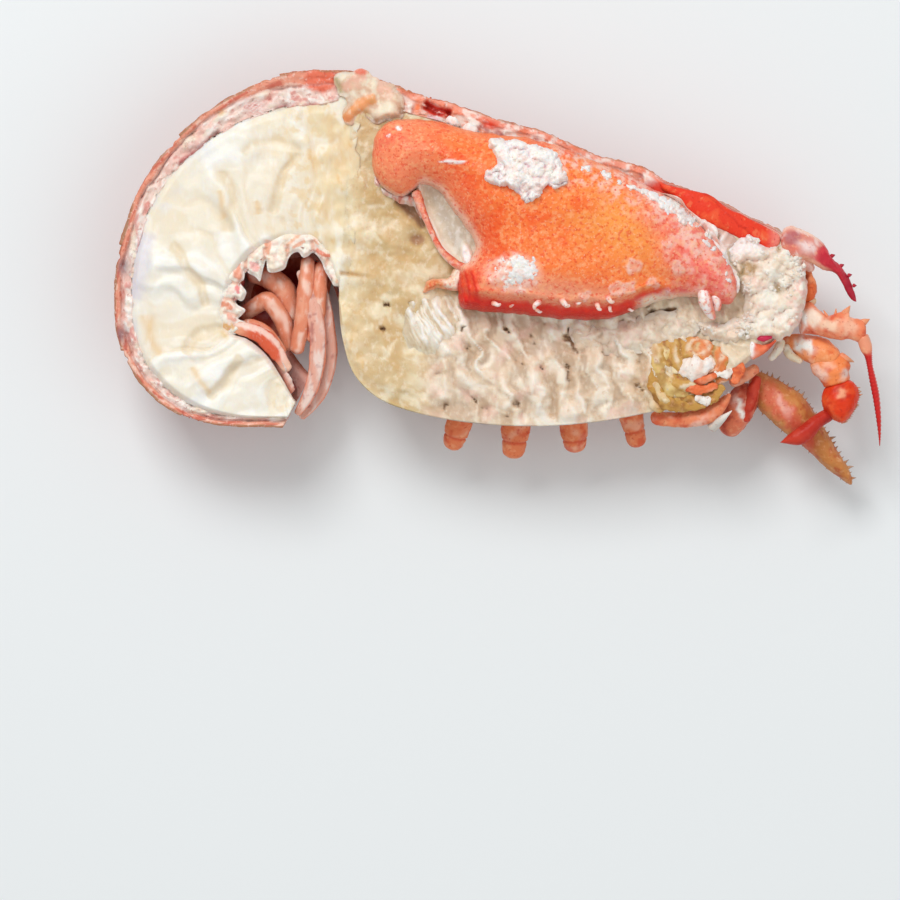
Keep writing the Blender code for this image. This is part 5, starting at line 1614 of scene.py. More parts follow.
def claw_top(x, y, away):
    """The claw: domed, with a red ridged lower edge, a pale crust and blotches near its tip."""
    p = flat(x, y)
    mouth = path_distance(x, y, CLAW_MOUTH)[0]
    band_away = path_distance(x, y, CLAW_BAND)[0] + 0.7 * fractal(p, 3, 2, 231)
    band = smooth(-band_away, -4.8, -2.2) * smooth(band_away, 0.1, 0.8)
    roll = smooth(-x, 4.0, 6.5) * smooth(-y, -4, -0.5)
    crust_away = path_distance(x, y, CRUST_EDGE)[0]
    veil = smooth(-crust_away + 3 * fractal(p, 4, 3, 233), -9, -3) * smooth(y, 2, 12)
    patch = smooth(spot(x, y, (4.2, 1.2), 8.6, 6, -6), 0.3, 0.7) * patches(p, 3.2, 3, 234, -0.6, 0.0)
    slash = spot(x, y, (-12.6, 32), 4.4, 0.55, -2)
    # Two white spots on the knob's top: painted glints of light.
    painted_glints = np.maximum(spot(x, y, (-27.6, 41.6), 1.2, 0.7, -20), spot(x, y, (-30.4, 39.4), 0.9, 0.5, 30))
    blotch = np.zeros_like(x)
    for bx, by, r in ROUND_BLOTCHES:
        away_from = np.hypot(x - bx, y - by) + 1.0 * noise(p, 1.8, 235)
        ringed = smooth(-away_from, -r * 0.9, -r * 0.6)
        blotch = np.maximum(blotch, ringed * (0.5 + 0.5 * smooth(away_from, r * 0.2, r * 0.6)))
    ripple = np.sin(x * 3.4 + 0.8 * y + 1.5 * noise(p, 3, 246))
    rise = claw_height(x, away) + 0.14 * fractal(p, 1.4, 3, 81) * smooth(away, 0, 2)
    rise += 0.9 * fractal(p, 14, 2, 236) * smooth(away, 0, 6)
    rise += 0.9 * np.exp(-((band_away - 5.0) / 1.0) ** 2) - 0.8 * np.exp(-((band_away - 3.2) / 1.2) ** 2)
    rise += 0.35 * patch * lumps(p, 1.4, 237) + 0.6 * smooth(slash, 0.4, 0.8)
    rise += 0.4 * blotch + 1.0 * smooth(-mouth, -1.8, -0.4) * smooth(away, 0, 0.6)
    rise += 0.3 * roll * ripple
    lobe = smooth(-x - 0.4 * y, -6, 12)
    warm = patches(p, 9, 3, 243, 0.0, 0.45)
    tip = smooth(x + 0.5 * y + 3 * fractal(p, 7, 2, 247), 44, 58)
    tint = coat(
        x, (0.95, 0.21, 0.05), ((0.97, 0.34, 0.07), 0.9 * spot(x, y, (34, 14), 16, 10, -22)),
        ((0.92, 0.11, 0.02), 0.8 * warm * smooth(-x, -34, -18)),
        ((0.92, 0.12, 0.035), 0.9 * spot(x, y, (-7, 14), 5, 14)), ((0.96, 0.27, 0.13), 0.95 * lobe),
        ((0.93, 0.16, 0.09), 0.7 * lobe * patches(p, 6, 3, 248, 0.05, 0.4)),
        ((0.92, 0.38, 0.24), 0.75 * smooth(-y - 0.2 * x, -6, 1) * (1 - lobe)),
        ((0.93, 0.2, 0.17), 0.9 * tip),
        ((0.96, 0.5, 0.42), 0.8 * tip * patches(p, 3.6, 4, 238, 0.0, 0.3)),
        ((0.95, 0.6, 0.5), 0.85 * blotch),
        ((0.9, 0.24, 0.14), 0.5 * blotch * patches(p, 1.2, 2, 249, 0.1, 0.3)),
        ((0.95, 0.62, 0.52), 0.75 * veil * patches(p, 1.8, 3, 239, -0.15, 0.25)),
        ((0.94, 0.58, 0.48), 0.95 * patch), (WARM_WHITE, patch * patches(p, 1.8, 3, 241, 0.05, 0.3)),
        # The second white is the painted glints on the knob.
        (WHITE, smooth(slash, 0.35, 0.6)), (WHITE, smooth(painted_glints, 0.4, 0.7)),
        ((0.78, 0.03, 0.06), 0.7 * streak(x, y, [(38, -6.4), (46, -4), (54, -3.2)], 1.2)),
        ((0.92, 0.66, 0.72), 0.8 * streak(x, y, [(44, -5.4), (48, -3.4)], 0.7)),
        ((0.88, 0.07, 0.025), 0.92 * roll), ((0.68, 0.01, 0.008), 0.8 * roll * smooth(ripple, 0.2, 0.8)),
        ((0.74, 0.018, 0.012), 0.95 * band),
        ((0.88, 0.05, 0.02), 0.6 * band * patches(p, 2.0, 3, 242, 0.0, 0.3)),
        # The band is the shell's deep red; this darkest strip right along the lower edge is also painted
        # shade on the side turned from the light.
        ((0.62, 0.012, 0.008), 0.9 * smooth(-band_away, -2.0, -0.8)),
        ((0.93, 0.6, 0.46), 0.9 * smooth(-mouth, -2.8, -0.7) * (1 - roll)),
        (BLUSH, 0.85 * smooth(-away, -1.0, -0.1) * smooth(-y, -29, -24) * smooth(-x, 18, 22)),
        (IVORY, 0.95 * smooth(-away, -3.4, -1.6) * smooth(-y, 3, 6) * smooth(x, 37, 42)
         * smooth(-x, -60, -57)))
    return rise, tint


def claw_skin(x, y):
    """Height of the claw's outside in the frame at places away from its edges."""
    ring = outline_curve(CLAW_OUTLINE, 1.0)
    away = path_distance(x, y, np.concatenate([ring, ring[:1]]))[0]
    return CLAW_BASE + claw_height(x, away)


def tooth(x, y, size, turn):
    """One of the curled teeth on the claw's lower edge."""
    foot = np.array([x, y, claw_skin(np.array([x]), np.array([y]))[0] - 0.5])
    lean = np.array([math.cos(turn), math.sin(turn), 0])
    side = np.array([-lean[1], lean[0], 0])
    path = [foot, foot + lean * size * 0.22 + (0, 0, size * 0.42),
            foot + lean * size * 0.66 + (0, 0, size * 0.5),
            foot + lean * size * 0.9 + side * size * 0.26 + (0, 0, size * 0.3)]

    def paint(p, share, around):
        tint = coat(
            p, (0.82, 0.12, 0.07), ((0.93, 0.46, 0.36), smooth(share, 0.1, 0.4)),
            # Painted highlight on the upper side towards the tip.
            ((0.95, 0.84, 0.8), 0.95 * smooth(np.sin(around), 0.1, 0.6) * smooth(share, 0.25, 0.5)))
        return 0.1 * size * 0.3 * fractal(p, 1.2, 2, 251), tint

    return limb(path, [size * 0.36, size * 0.28, size * 0.22, size * 0.12], paint, 18, 30)


PROTEIN_PATCH = [
    (-3.8, 38.6), (0.7, 39.2), (6.3, 38.6), (11.9, 37), (16.4, 35.3), (18, 31.9), (19.7, 27.7),
    (19.2, 25.5), (16.4, 24), (13.3, 23.5), (12.2, 21.3), (8.3, 19.6), (5.5, 21.6), (3.5, 24), (0, 24.9),
    (-3.8, 26.6), (-4.3, 29.1), (-0.7, 32.5), (-2.2, 34.8)]

LINING = [(-22.6, 27.0), (-19.4, 28.0), (-14, 25.2), (-9.8, 19.4), (-6.2, 15), (-3.4, 9.8), (-5, 3.8),
          (-9.2, 2.4), (-12.6, 4.4), (-16.2, 8.8), (-18.8, 14.4), (-21.6, 20)]


def lining_top(x, y, away):
    """The smooth pale inside of the claw's open joint, thicker along its free edge."""
    p = flat(x, y)
    free = smooth(-x - 0.62 * y, 3.4, 6.0)
    rim = np.exp(-((away - 0.9) / 0.8) ** 2) * (0.3 + 0.7 * free)
    lump = smooth(spot(x, y, (-8.6, 6.4), 1.5, 4.0, 12), 0.25, 0.7)
    rise = 0.7 + 1.7 * rim + 0.25 * fractal(p, 3, 2, 281) - 0.5 * smooth(away, 2, 4.6)
    rise += lump * (2.2 + 0.8 * fractal(p, 1.6, 3, 283)) + 1.6 * smooth(-away, -1.6, 0) * (1 - free)
    tint = coat(
        x, (0.8, 0.7, 0.55),
        # Painted shade in the dipped middle of the lining.
        ((0.6, 0.49, 0.36), 0.8 * smooth(away, 1.4, 3.6) * smooth(x + 0.5 * y, -12, -4)),
        ((0.5, 0.38, 0.24), 0.7 * spot(x, y, (-19.2, 21.6), 1.6, 2.6, 30)),
        ((0.9, 0.83, 0.7), 0.8 * patches(p, (2.4, 5, 1), 3, 282, 0.0, 0.4)),
        ((0.92, 0.78, 0.66), 0.8 * rim), (WHITE, lump))
    return rise, tint


CHIP = [(-20.6, -3.8), (-19.6, -1), (-17.4, 0.2), (-14, 0.2), (-12.2, 2.6), (-9.6, 3.4), (-10.4, -2.4),
        (-12.8, -3.4), (-16.6, -2.4), (-18.4, -3.2)]

CLAW_TISSUE = [(-34.4, 29.5), (-31.6, 26.2), (-28, 24.6), (-24, 24.6), (-21.2, 25.0), (-20.4, 20.4),
               (-21.8, 17.4), (-24.2, 20.4), (-27.6, 21.8), (-31.6, 23.6), (-34.2, 26.4)]


def tissue_top(x, y, away):
    """Pink torn tissue under the knob of the claw."""
    p = flat(x, y)
    rise = smooth(away, 0, 1.4) * (2.2 + 1.6 * fractal(p, (2.0, 3.4, 1), 4, 284)) + 0.3
    tint = coat(
        x, (0.86, 0.5, 0.42), (BLUSH, patches(p, (1.6, 3, 1), 3, 285, -0.1, 0.3)),
        (WHITE, 0.6 * patches(p, 1.2, 3, 286, 0.1, 0.4)),
        ((0.62, 0.12, 0.08), 0.8 * patches(p, (2, 4, 1), 3, 287, 0.15, 0.4)))
    return rise, tint


def chip_top(x, y, away):
    """A broken orange chip of shell with its cream inside."""
    p = flat(x, y)
    cream = smooth(x + 0.5 * y + 0.8 * fractal(p, 2, 3, 293), -16.6, -15.0)
    rise = 0.6 + 1.6 * smooth(away, 0, 1.0) + 0.5 * fractal(p, 2, 3, 291) + 0.6 * cream
    tint = coat(
        x, (0.8, 0.26, 0.1), ((0.92, 0.8, 0.66), cream),
        ((0.6, 0.3, 0.12), 0.6 * patches(p, 1.5, 3, 292, 0, 0.4) * (1 - cream)),
        ((0.9, 0.48, 0.3), 0.8 * smooth(-away, -0.7, -0.1)))
    return rise, tint


def strut_paint(p, share, turn):
    """The torn edge of shell beside the open joint: coral, with a pale fold."""
    fold = smooth(np.cos(turn + 0.6), 0.1, 0.8)
    tint = coat(
        p, (0.84, 0.28, 0.19), ((0.9, 0.52, 0.42), patches(p, 2, 3, 295, -0.1, 0.4)), (BLUSH, 0.9 * fold),
        (WARM_WHITE, 0.7 * fold * patches(p, 1.2, 2, 296, 0.1, 0.4)),
        (SHELL_RED, 0.8 * smooth(-np.cos(turn), 0.1, 0.9)))
    return 0.25 * fractal(p, 1.6, 3, 294), tint


def hook_paint(p, share, turn):
    """The claw tip's smooth tooth: white and pink with a red outline."""
    tint = coat(
        p, (0.9, 0.3, 0.24), ((0.95, 0.8, 0.76), smooth(np.sin(turn + 1.2 * share), 0.2, 0.7)),
        (WHITE, 0.9 * smooth(np.sin(turn + 1.2 * share), 0.75, 0.95)),
        (CRIMSON, 0.7 * smooth(-np.sin(turn), 0.2, 0.7)))
    return 0.2 * fractal(p, 2.4, 2, 297), tint


WORN_PATCH = [
    (-4.4, 3), (-1, 6.6), (5, 7.2), (10.8, 5.4), (12.6, -0.6), (8.4, -5), (1.4, -4.8), (-3.6, -2.4)]

CRUST_BED = [
    (38, 26.4), (44, 24.4), (50.4, 22.6), (53, 19.6), (56.8, 16.4), (60, 13.6), (62.4, 8.6), (65.4, 3.4),
    (66.4, -0.6), (63.4, -2), (61, 3.4), (57.8, 8.6), (53.4, 12.8), (48.4, 16), (43.4, 19.4),
    (38.6, 22.6), (30, 26.6), (22, 29.6), (21, 33.4), (29.6, 30.6)]


def crusted(outline, deep, size, spread, seed, crease_shade):
    """A crumbly layer of set protein on the claw, thick where spread(x, y) is over 0."""
    def top(x, y, away):
        p = flat(x, y)
        lump = pads(p + 0.8 * noise(p, 2, seed + 8)[:, None], size, seed)
        over = (spread(x, y) * (0.1 + 0.9 * smooth(away, 0, 2.6)) + 0.6 * fractal(p, 2.6, 4, seed + 4)
                + 0.5 * (lump - 0.45))
        cover = smooth(over, 0, 0.6) * smooth(away, 0, 0.8)
        tint = coat(
            # The second colour is painted shade in the creases between the lumps.
            x, (0.93, 0.88, 0.85), (crease_shade, 0.85 * smooth(-lump, -0.44, -0.18)),
            ((0.94, 0.88, 0.76), 0.5 * patches(p, 3.5, 2, seed + 6, 0.1, 0.4)),
            ((0.92, 0.66, 0.6), 0.6 * patches(p, 2.2, 3, seed + 7, 0.1, 0.4)),
            ((0.94, 0.48, 0.32), 0.9 * smooth(-over, -0.35, -0.02)))
        return cover * (0.75 + deep * lump * smooth(over, 0, 1.0)
                        + 0.25 * fractal(p, 0.9, 2, seed + 9)), tint
    return mound(outline, 0.24, lambda x, y: claw_skin(x, y) - 0.7, top, least=0.1)


def white_ridge(p, share, turn):
    """The thick white edge of set protein along the claw's tip."""
    # The last colour is painted shade on the ridge's underside.
    tint = coat(p, (0.93, 0.87, 0.82), ((0.92, 0.62, 0.54), 0.7 * patches(p, 2.4, 3, 256, 0.0, 0.35)),
                ((0.8, 0.5, 0.44), 0.7 * smooth(-np.sin(turn), 0, 0.7)))
    return 1.1 * fractal(p, 3.0, 3, 255), tint


def claw_proteins():
    """The thick patch, the thin worn patch, the crust and the white edge on the claw."""
    def crust_spread(x, y):
        return 0.25 + 0.45 * smooth(x, 28, 38) * smooth(-x, -58, -52)

    def worn_spread(x, y):
        return 1.1 * spot(x, y, (7.4, 1.0), 4.4, 5) + 0.5 * spot(x, y, (0, 2.4), 3, 3) - 0.2

    # The last colour of each is the painted shade in the creases between its lumps.
    patch = crusted(PROTEIN_PATCH, 4.6, 4.4, lambda x, y: 1.3 + 0 * x, 261, (0.76, 0.54, 0.6))
    crust = crusted(CRUST_BED, 1.8, 3.4, crust_spread, 271, (0.88, 0.5, 0.42))
    worn = crusted(WORN_PATCH, 0.7, 3.6, worn_spread, 276, (0.94, 0.6, 0.5))
    edge = [(55.4, 16.8), (59.4, 13.8), (60.8, 10.6), (61.8, 7.6), (63.4, 4.6), (65, 1.6), (66.4, -1.6),
            (66.6, -4.2)]
    ridge = limb([(x, y, CUT + 2.9) for x, y in edge], [0.6, 1.5, 1.3, 2.0, 1.3, 1.6, 1.1, 0.5],
                 white_ridge, 36, 150, 0.7)
    knots = (([(-9.6, 42.6, 31), (-7.6, 41.4, 31.6), (-5.6, 40.6, 31)], [1.5, 2.2, 1.4]),
             ([(-14.4, 44.8, 30.4), (-12.4, 43.8, 31), (-10.6, 43, 30.4)], [0.9, 1.4, 0.9]))
    blobs = [limb(path, wide, white_ridge, 30, 40, 0.6) for path, wide in knots]
    return joined([patch, crust, worn, ridge, *blobs])


def build_claw():
    piece("claw", mound(CLAW_OUTLINE, 0.44, CLAW_BASE, claw_top, rough=0.25), CLAW, "claw_shell")
    piece("claw_teeth", joined([tooth(*each) for each in CLAW_TEETH]), CLAW)
    piece("set_protein_on_claw", claw_proteins(), WHITE_CURD)
    hook = [(57.0, -2.2, CLAW_BASE + 3.4), (57.6, -5.6, CLAW_BASE + 4.6), (58.6, -8.4, CLAW_BASE + 3.6),
            (60.4, -11.4, CLAW_BASE + 1.6)]
    prong = [(60.2, -4.2, CLAW_BASE + 3.4), (61.2, -6.8, CLAW_BASE + 3.0), (61.2, -9.0, CLAW_BASE + 1.8)]
    piece("claw_hook_tooth", joined([limb(hook, [1.2, 1.9, 1.7, 0.8], hook_paint, 30, 60),
                                     limb(prong, [1.2, 1.3, 0.9], hook_paint, 24, 40)]), CLAW,
          "claw_hook")
    strut = [(-23.0, 24.6, CUT + 4.2), (-20.6, 18, CUT + 4.4), (-18.0, 12, CUT + 4.2),
             (-15.8, 8, CUT + 4.0), (-12.4, 4.6, CUT + 3.8), (-8.8, 2.6, CUT + 3.8)]
    piece("claw_joint_strut", limb(strut, [1.5, 1.0, 0.8, 0.9, 1.2, 1.3], strut_paint, 30, 110), CLAW,
          "claw_strut")
    piece("claw_joint_tissue", mound(CLAW_TISSUE, 0.35, CUT + 0.6, tissue_top, rough=0.7), SKIN)
    piece("claw_joint_lining", mound(LINING, 0.35, CUT + 1.6, lining_top), WHITE_CURD, "claw_lining")
    piece("claw_broken_chip", mound(CHIP, 0.35, CUT + 1.6, chip_top, rough=0.3), CLAW, "claw_chip")


# The head.
HEAD_CURD = [
    (66.2, 10.4), (67.6, 12.2), (70.2, 13.2), (72.8, 12.2), (73.8, 9.8), (76.6, 8.8), (80, 9.6),
    (83.6, 8.4), (86, 5), (86.4, 0), (86.2, -6), (84.6, -12), (80.6, -16.2), (72, -17.6), (64, -17.8),
    (57, -15), (56.6, -12.4), (63, -12.6), (68.4, -9.4), (68.8, -5.6), (67.6, -1), (65.8, 2.4), (64, 4.6),
    (64.6, 8)]


def curd_height(x, y, away):
    p = flat(x, y)
    hole = spot(x, y, (70.2, 3.4), 3.0, 1.7, -12) + spot(x, y, (78.4, -2.6), 0.8, 1.8, 20)
    hole = hole + 0.7 * streak(x, y, [(66.4, 0.4), (69, 1.6), (72, 1.4)], 1.1)
    hole = hole + spot(x, y, (78.6, 8.2), 0.8, 1.2)
    lump = pads(p + 0.5 * noise(p, 2, 322)[:, None], 4.8, 323)
    rise = smooth(away, 0, 1.8) * (0.8 + 1.3 * fractal(p, 8, 2, 321) + 3.2 * lump)
    return rise - 2.2 * np.minimum(hole, 1), hole, lump


def curd_top(x, y, away):
    """Set protein behind the head: lumpy cream and blush, with a tan hollow."""
    p = flat(x, y)
    rise, hole, lump = curd_height(x, y, away)
    channel = streak(x, y, [(64.8, 3), (67.4, -1.6), (66.6, -6.6), (62.6, -11)], 1.7)
    tint = coat(
        x, (0.86, 0.73, 0.59), ((0.92, 0.85, 0.74), patches(p, 4, 3, 327, -0.05, 0.3)),
        ((0.9, 0.66, 0.56), 0.7 * patches(p, 4.5, 3, 328, 0.05, 0.35)),
        ((0.93, 0.84, 0.82), 0.9 * smooth(y - 0.3 * x, -16, -12)),
        # Painted shade between the lumps.
        ((0.7, 0.48, 0.4), 0.8 * smooth(-lump, -0.36, -0.14)),
        ((0.82, 0.68, 0.52), 0.7 * smooth(-y, 12, 16)), ((0.66, 0.48, 0.32), 0.7 * channel),
        ((0.54, 0.36, 0.18), 0.9 * smooth(hole, 0.3, 0.8)),
        ((0.86, 0.4, 0.34), 0.7 * smooth(x - 0.3 * y, 82.6, 85.4) * patches(p, 2.4, 3, 324, -0.05, 0.3)))
    return rise, tint


def curd_crumbs():
    """Loose crumbs of protein on the head's curd."""
    def share(x, y, away):
        lump = curd_height(x, y, away)[1]
        return np.clip(1.6 * noise(flat(x, y), 5, 331) - 1.5 * lump - smooth(-y, 13, 16), 0, 1)

    points, faces, _ = clotted(
        HEAD_CURD, lambda x, y, away: CUT + 0.6 + curd_height(x, y, away)[0], 0.8, 0.25,
        ((0.35, 0.8, 0.3), (0.2, 0.4, 2.0)), 0.2, 331, share)
    points = points + 0.25 * np.stack([fractal(points, 1.0, 3, 335 + n) for n in range(3)], -1)
    tint = coat(
        points, (0.91, 0.83, 0.73), ((0.9, 0.68, 0.6), 0.5 * patches(points, 2.4, 3, 334, 0.15, 0.45)))
    return points, faces, tint


def limb_paint(base, pale, dark, seed, marks=(), scale=1.0, low=0.8):
    """Colours of a limb: mottled shell, painted shade below, with marks (colour, x, y, wide, high, turn).
    """
    def paint(p, share, turn):
        rise = scale * (0.28 * fractal(p, 2.6, 3, seed) + 0.12 * fractal(p, 0.9, 2, seed + 1))
        bent = p + 0.9 * noise(p, 2.0, seed + 4)[:, None]
        tint = coat(p, base, (pale, 0.6 * patches(p, 5, 3, seed + 2, 0.0, 0.5)),
                    (dark, 0.7 * patches(p, 4, 3, seed + 3, 0.05, 0.5)))
        for colour, x, y, wide, high, angle in marks:
            mark = spot(bent[:, 0], bent[:, 1], (x, y), wide, high, angle)
            tint = tinted(tint, colour, smooth(mark, 0.1, 0.8) * smooth(np.sin(turn), -0.2, 0.2))
        # The dark colour also paints shade on the underside, as strong as low says.
        return rise, tinted(tint, dark, low * smooth(-np.sin(turn), 0.0, 0.8))
    return paint


BEAK = (
    [(79.4, 13.0), (81.2, 14.7), (84, 14.3), (88.4, 12.1), (91.5, 9.7), (93.5, 6.2), (95.9, 3.8),
     (98.1, 1.1), (99.8, -2.4), (100.8, -6.3)],
    [(79.2, 8.0), (81.9, 5.2), (85.8, 5.2), (89.4, 3.6), (91.5, 2.4), (94.6, 1.6), (96.3, -0.6),
     (97.7, -3.2), (99, -5.4), (100.6, -6.4)],
    [29.6, 30.4, 30.2, 29.4, 28.6, 27.4, 27], [2.4, 3.0, 2.8, 2.2, 1.6, 1.2, 0.5])

BEAK_THORNS = [(93.4, 6.4, 1.3, 0.4), (96, 3.6, 1.2, 0.5), (98.2, 1, 1.2, 0.3), (99.6, -1.8, 1.1, 0)]


FEELER_ROOT = (
    [(84.6, -6.1), (88, -6.3), (90.2, -8.5), (92.8, -10.3), (95.5, -9.4), (98.3, -8.9), (98.9, -10.5),
     (101.2, -11.1), (103.4, -11.9)],
    [(84.6, -15.1), (88.9, -15.6), (92.4, -16.4), (96.3, -17.1), (98.5, -16.8), (101.2, -17.5),
     (103.4, -17.3)],
    [25, 26.8, 27.6, 28, 28], [3.0, 3.6, 3.0, 2.7, 2.6])

FEELER_THORNS = [
    ((97, -10.2, 28), (98.9, -7.4, 28.6), 1.3), ((102, -12.4, 28), (104.4, -11.2, 28.4), 1.3),
    ((92.6, -10.9, 28), (91.4, -8.6, 28.4), 0.6), ((94.8, -10, 28), (94.9, -8.2, 28.4), 0.5)]


FEELER = (
    [(100.5, -16), (101.8, -19.9), (102.9, -21.6), (103.6, -24.3), (104.4, -28.6), (105.5, -33.9),
     (106.4, -39.1), (107.2, -44.4), (107.5, -46.8)],
    [(103.8, -15), (104.9, -18.1), (105.1, -21.6), (105.3, -24.3), (106.4, -28.6), (107.3, -33),
     (107.8, -39.1), (107.8, -44.4), (107.7, -46.8)],
    [28, 28, 27.6, 26.6, 25, 23], [2.2, 1.8, 1.3, 1.2, 0.9, 0.3])

THIGH = (
    [(79.9, -16.6), (81.9, -15.5), (85.4, -15.1), (89.3, -15.7), (92.8, -16.8), (95.5, -19), (97, -21)],
    [(79.9, -17.2), (81.9, -19.2), (84.5, -21.2), (86.7, -22.9), (88.5, -23.9), (90.6, -24.3), (93, -25)],
    [20, 21.5, 23, 23.6], [1.4, 3.4, 3.8, 3.0])

KNEE = ([(96.2, -20.3), (98.5, -22.1), (99.4, -24.3), (98.9, -26.4), (99.6, -28.6)],
        [(87.6, -23.4), (88.9, -26.4), (90.7, -28.2), (92, -30.8)], [23, 23.4, 23.2], [3.0, 4.2, 3.6])

SHIN = ([(99.4, -27.4), (101.4, -30.4), (101.7, -32.6), (100.9, -35.6), (99.4, -38.3), (97.9, -40)],
        [(92.4, -29.5), (91.3, -32.6), (91.5, -35.2), (92.8, -37.8), (94.6, -39.3), (96.6, -40.4)],
        [23, 23, 22.6, 22], [3.4, 4.6, 4.6, 3.0])

TOE = ([(93.4, -35.6), (88.9, -38.3), (85.4, -40.9), (81.9, -43.5), (79.4, -45.6)],
       [(95.4, -39.1), (91.5, -41.3), (88.5, -44.6), (85, -46.5), (79.6, -46)], [22.4, 23.4, 24, 24],
       [2.4, 2.6, 2.2, 0.8])

ARM = (
    [(72.3, -25.9), (74.5, -25.8), (78, -27.4), (81.9, -29.5), (85.4, -31.7), (87.8, -34.3),
     (90.2, -37.8), (93.7, -43.5), (96.8, -48.8), (99.8, -53.5), (101.2, -57.2)],
    [(70.5, -30.4), (72.3, -33), (74.5, -36.9), (77.1, -39.1), (79.3, -41.3), (81.9, -43.5),
     (86.3, -46.6), (90.2, -50.1), (93.3, -53.1), (97.4, -55.9), (100, -58.2)],
    [16, 16, 16, 15.4, 14, 12], [3.2, 4.2, 4.6, 4.6, 4.2, 2.2])

CURLED_FLAP = (
    [(70.2, -16.6), (73, -18.4), (76.2, -18), (79, -15.6)],
    [(70.6, -23.2), (73.6, -21.6), (75.8, -19.9), (79, -16.6)], [30.8, 31.4, 31, 29.6],
    [1.0, 1.2, 1.1, 0.6])

SOCKET_STRIP = (
    [(43, -36.9), (51, -37.4), (57.6, -36), (63.4, -32.8), (65.2, -31.6)],
    [(43, -40.6), (51, -41.6), (57.6, -41.2), (62.6, -38.4), (65.8, -33)], [25.6, 26.8, 27.4, 27.4],
    [1.4, 2.0, 1.9, 1.0])


def edge_spines(limb_edges, reach, spacing, size, seed, colours, span=(0.05, 0.95)):
    """A row of thorns along a limb's first edge, pointing away from its middle."""
    top, low, heights, _ = limb_edges
    t = np.linspace(span[0], span[1], 60)
    a, b = curve(top, t), curve(low, t)
    out = (a - b) / np.linalg.norm(a - b, axis=1, keepdims=True)
    line = np.column_stack([a - out * reach, curve(heights, t)])
    out = np.column_stack([out, 0.3 + 0 * t]) + 0.35 * np.gradient(line, axis=0)
    host = (line, np.stack([np.arange(59), np.arange(1, 60)], -1),
            {"facing": out, "grow": 0.8 + 0.3 * noise(flat(t * 30, 0 * t), 1.5, seed)})
    return grown(ROW, host, LIMB, spine(*colours), Spacing=spacing, Smallest=size * 0.6,
                 Largest=size * 1.3, Lean=0.25, Turn=6.0, Seed=seed)


def beak_top(p, share, turn):
    """The beak: dusky red and blush at its root, crimson towards its tip."""
    x, y = p[:, 0], p[:, 1]
    rise = 0.35 * fractal(p, 2.2, 3, 341) + 0.12 * fractal(p, 0.8, 2, 345)
    red = smooth(x - 0.35 * y + 1.6 * fractal(p, 4, 3, 344), 84.6, 88)
    rim = smooth(-np.cos(turn), 0.6, 0.85) * smooth(-share, -0.56, -0.42)
    tint = coat(
        p, (0.74, 0.24, 0.18), ((0.9, 0.64, 0.58), 0.9 * patches(p, 2.6, 3, 342, 0.05, 0.35)),
        ((0.46, 0.12, 0.13), 0.9 * smooth(spot(x, y, (82.4, 11.4), 3.0, 2.6, 20), 0.3, 0.8)),
        ((0.93, 0.78, 0.76), 0.9 * spot(x, y, (86.4, 8.8), 2.4, 1.5, -10)),
        ((0.82, 0.16, 0.1), 0.8 * spot(x, y, (83, 8.6), 1.6, 0.9)), ((0.58, 0.025, 0.045), red),
        ((0.76, 0.07, 0.08), 0.7 * red * patches(p, 2.4, 3, 346, 0.0, 0.4)),
        ((0.92, 0.62, 0.5), 0.85 * smooth(np.cos(turn), 0.7, 0.92) * smooth(-share, -0.5, -0.38)),
        ((0.9, 0.46, 0.32), 0.9 * rim), ((0.36, 0.012, 0.035), 0.7 * smooth(share, 0.62, 0.8)))
    return rise, tint


def whip(p, share, turn):
    """The feeler: orange at its root, then ringed crimson."""
    red = smooth(share, 0.16, 0.26)
    rings = 0.1 * np.sin(share * 240) * red + 0.15 * fractal(p, 2, 2, 347) * (1 - red)
    tint = coat(
        p, (0.88, 0.34, 0.2), ((0.62, 0.022, 0.02), red),
        ((0.8, 0.2, 0.17), 0.6 * red * smooth(-np.cos(turn), 0.4, 0.9)),
        ((0.4, 0.015, 0.02), 0.6 * red * smooth(np.cos(turn), 0.5, 1)))
    return rings, tint


PINK_SHEET = [
    (59, 14.4), (62.4, 14.6), (65.2, 13), (67, 11), (65.2, 8.4), (63.6, 6), (61.6, 7.4), (60.4, 11)]

HEAD_BAND = (
    [(45.4, 27.2), (47.1, 26.4), (52.3, 25.2), (57.3, 24.1), (60.2, 22.7), (62.6, 20.9), (65.7, 18.9),
     (67.9, 18.2), (71, 16.5), (74.1, 15), (77, 13.4), (79.2, 12)],
    [(45.6, 25.4), (47.1, 24.4), (49.5, 22.8), (51, 21), (52.5, 18.5), (56, 16), (58.6, 15), (62.3, 13.8),
     (65.7, 12.4), (68, 11.2), (70.6, 10.6), (73.5, 9), (76.6, 8.8), (79, 9.6)],
    [CUT + 0.7, CUT + 0.9, CUT + 0.9, CUT + 0.8, CUT + 0.4], [0.8, 1.3, 1.4, 1.3, 0.9])


def band_paint(p, share, turn):
    """The smooth bright red inner skin of the head shell, one sheet folded over the next."""
    x, y = p[:, 0], p[:, 1]
    fold = x + 1.1 * y - 84.2 + 0.5 * noise(p, 3, 316)
    # line is painted shade along the fold where one sheet lies over the next.
    line = np.exp(-(fold / 0.35) ** 2)
    rise = 0.25 * fractal(p, 6, 2, 311) + 0.25 * smooth(fold, -0.3, 0.3) - 0.12 * line
    tint = coat(
        p, (0.82, 0.05, 0.02), ((0.88, 0.12, 0.04), 0.7 * patches(p, 5, 3, 312, 0.0, 0.4)),
        ((0.92, 0.24, 0.1), 0.5 * patches(p, 1.6, 3, 313, 0.35, 0.55)), ((0.62, 0.03, 0.015), 0.6 * line),
        ((0.6, 0.03, 0.02), 0.6 * smooth(np.abs(np.cos(turn)), 0.86, 0.97)),
        ((0.88, 0.34, 0.28), 0.6 * smooth(x, 74.6, 78.4)),
        ((0.9, 0.5, 0.42), 0.7 * smooth(np.cos(turn), 0.95, 0.99) * smooth(x, 60, 63)))
    return rise, tint


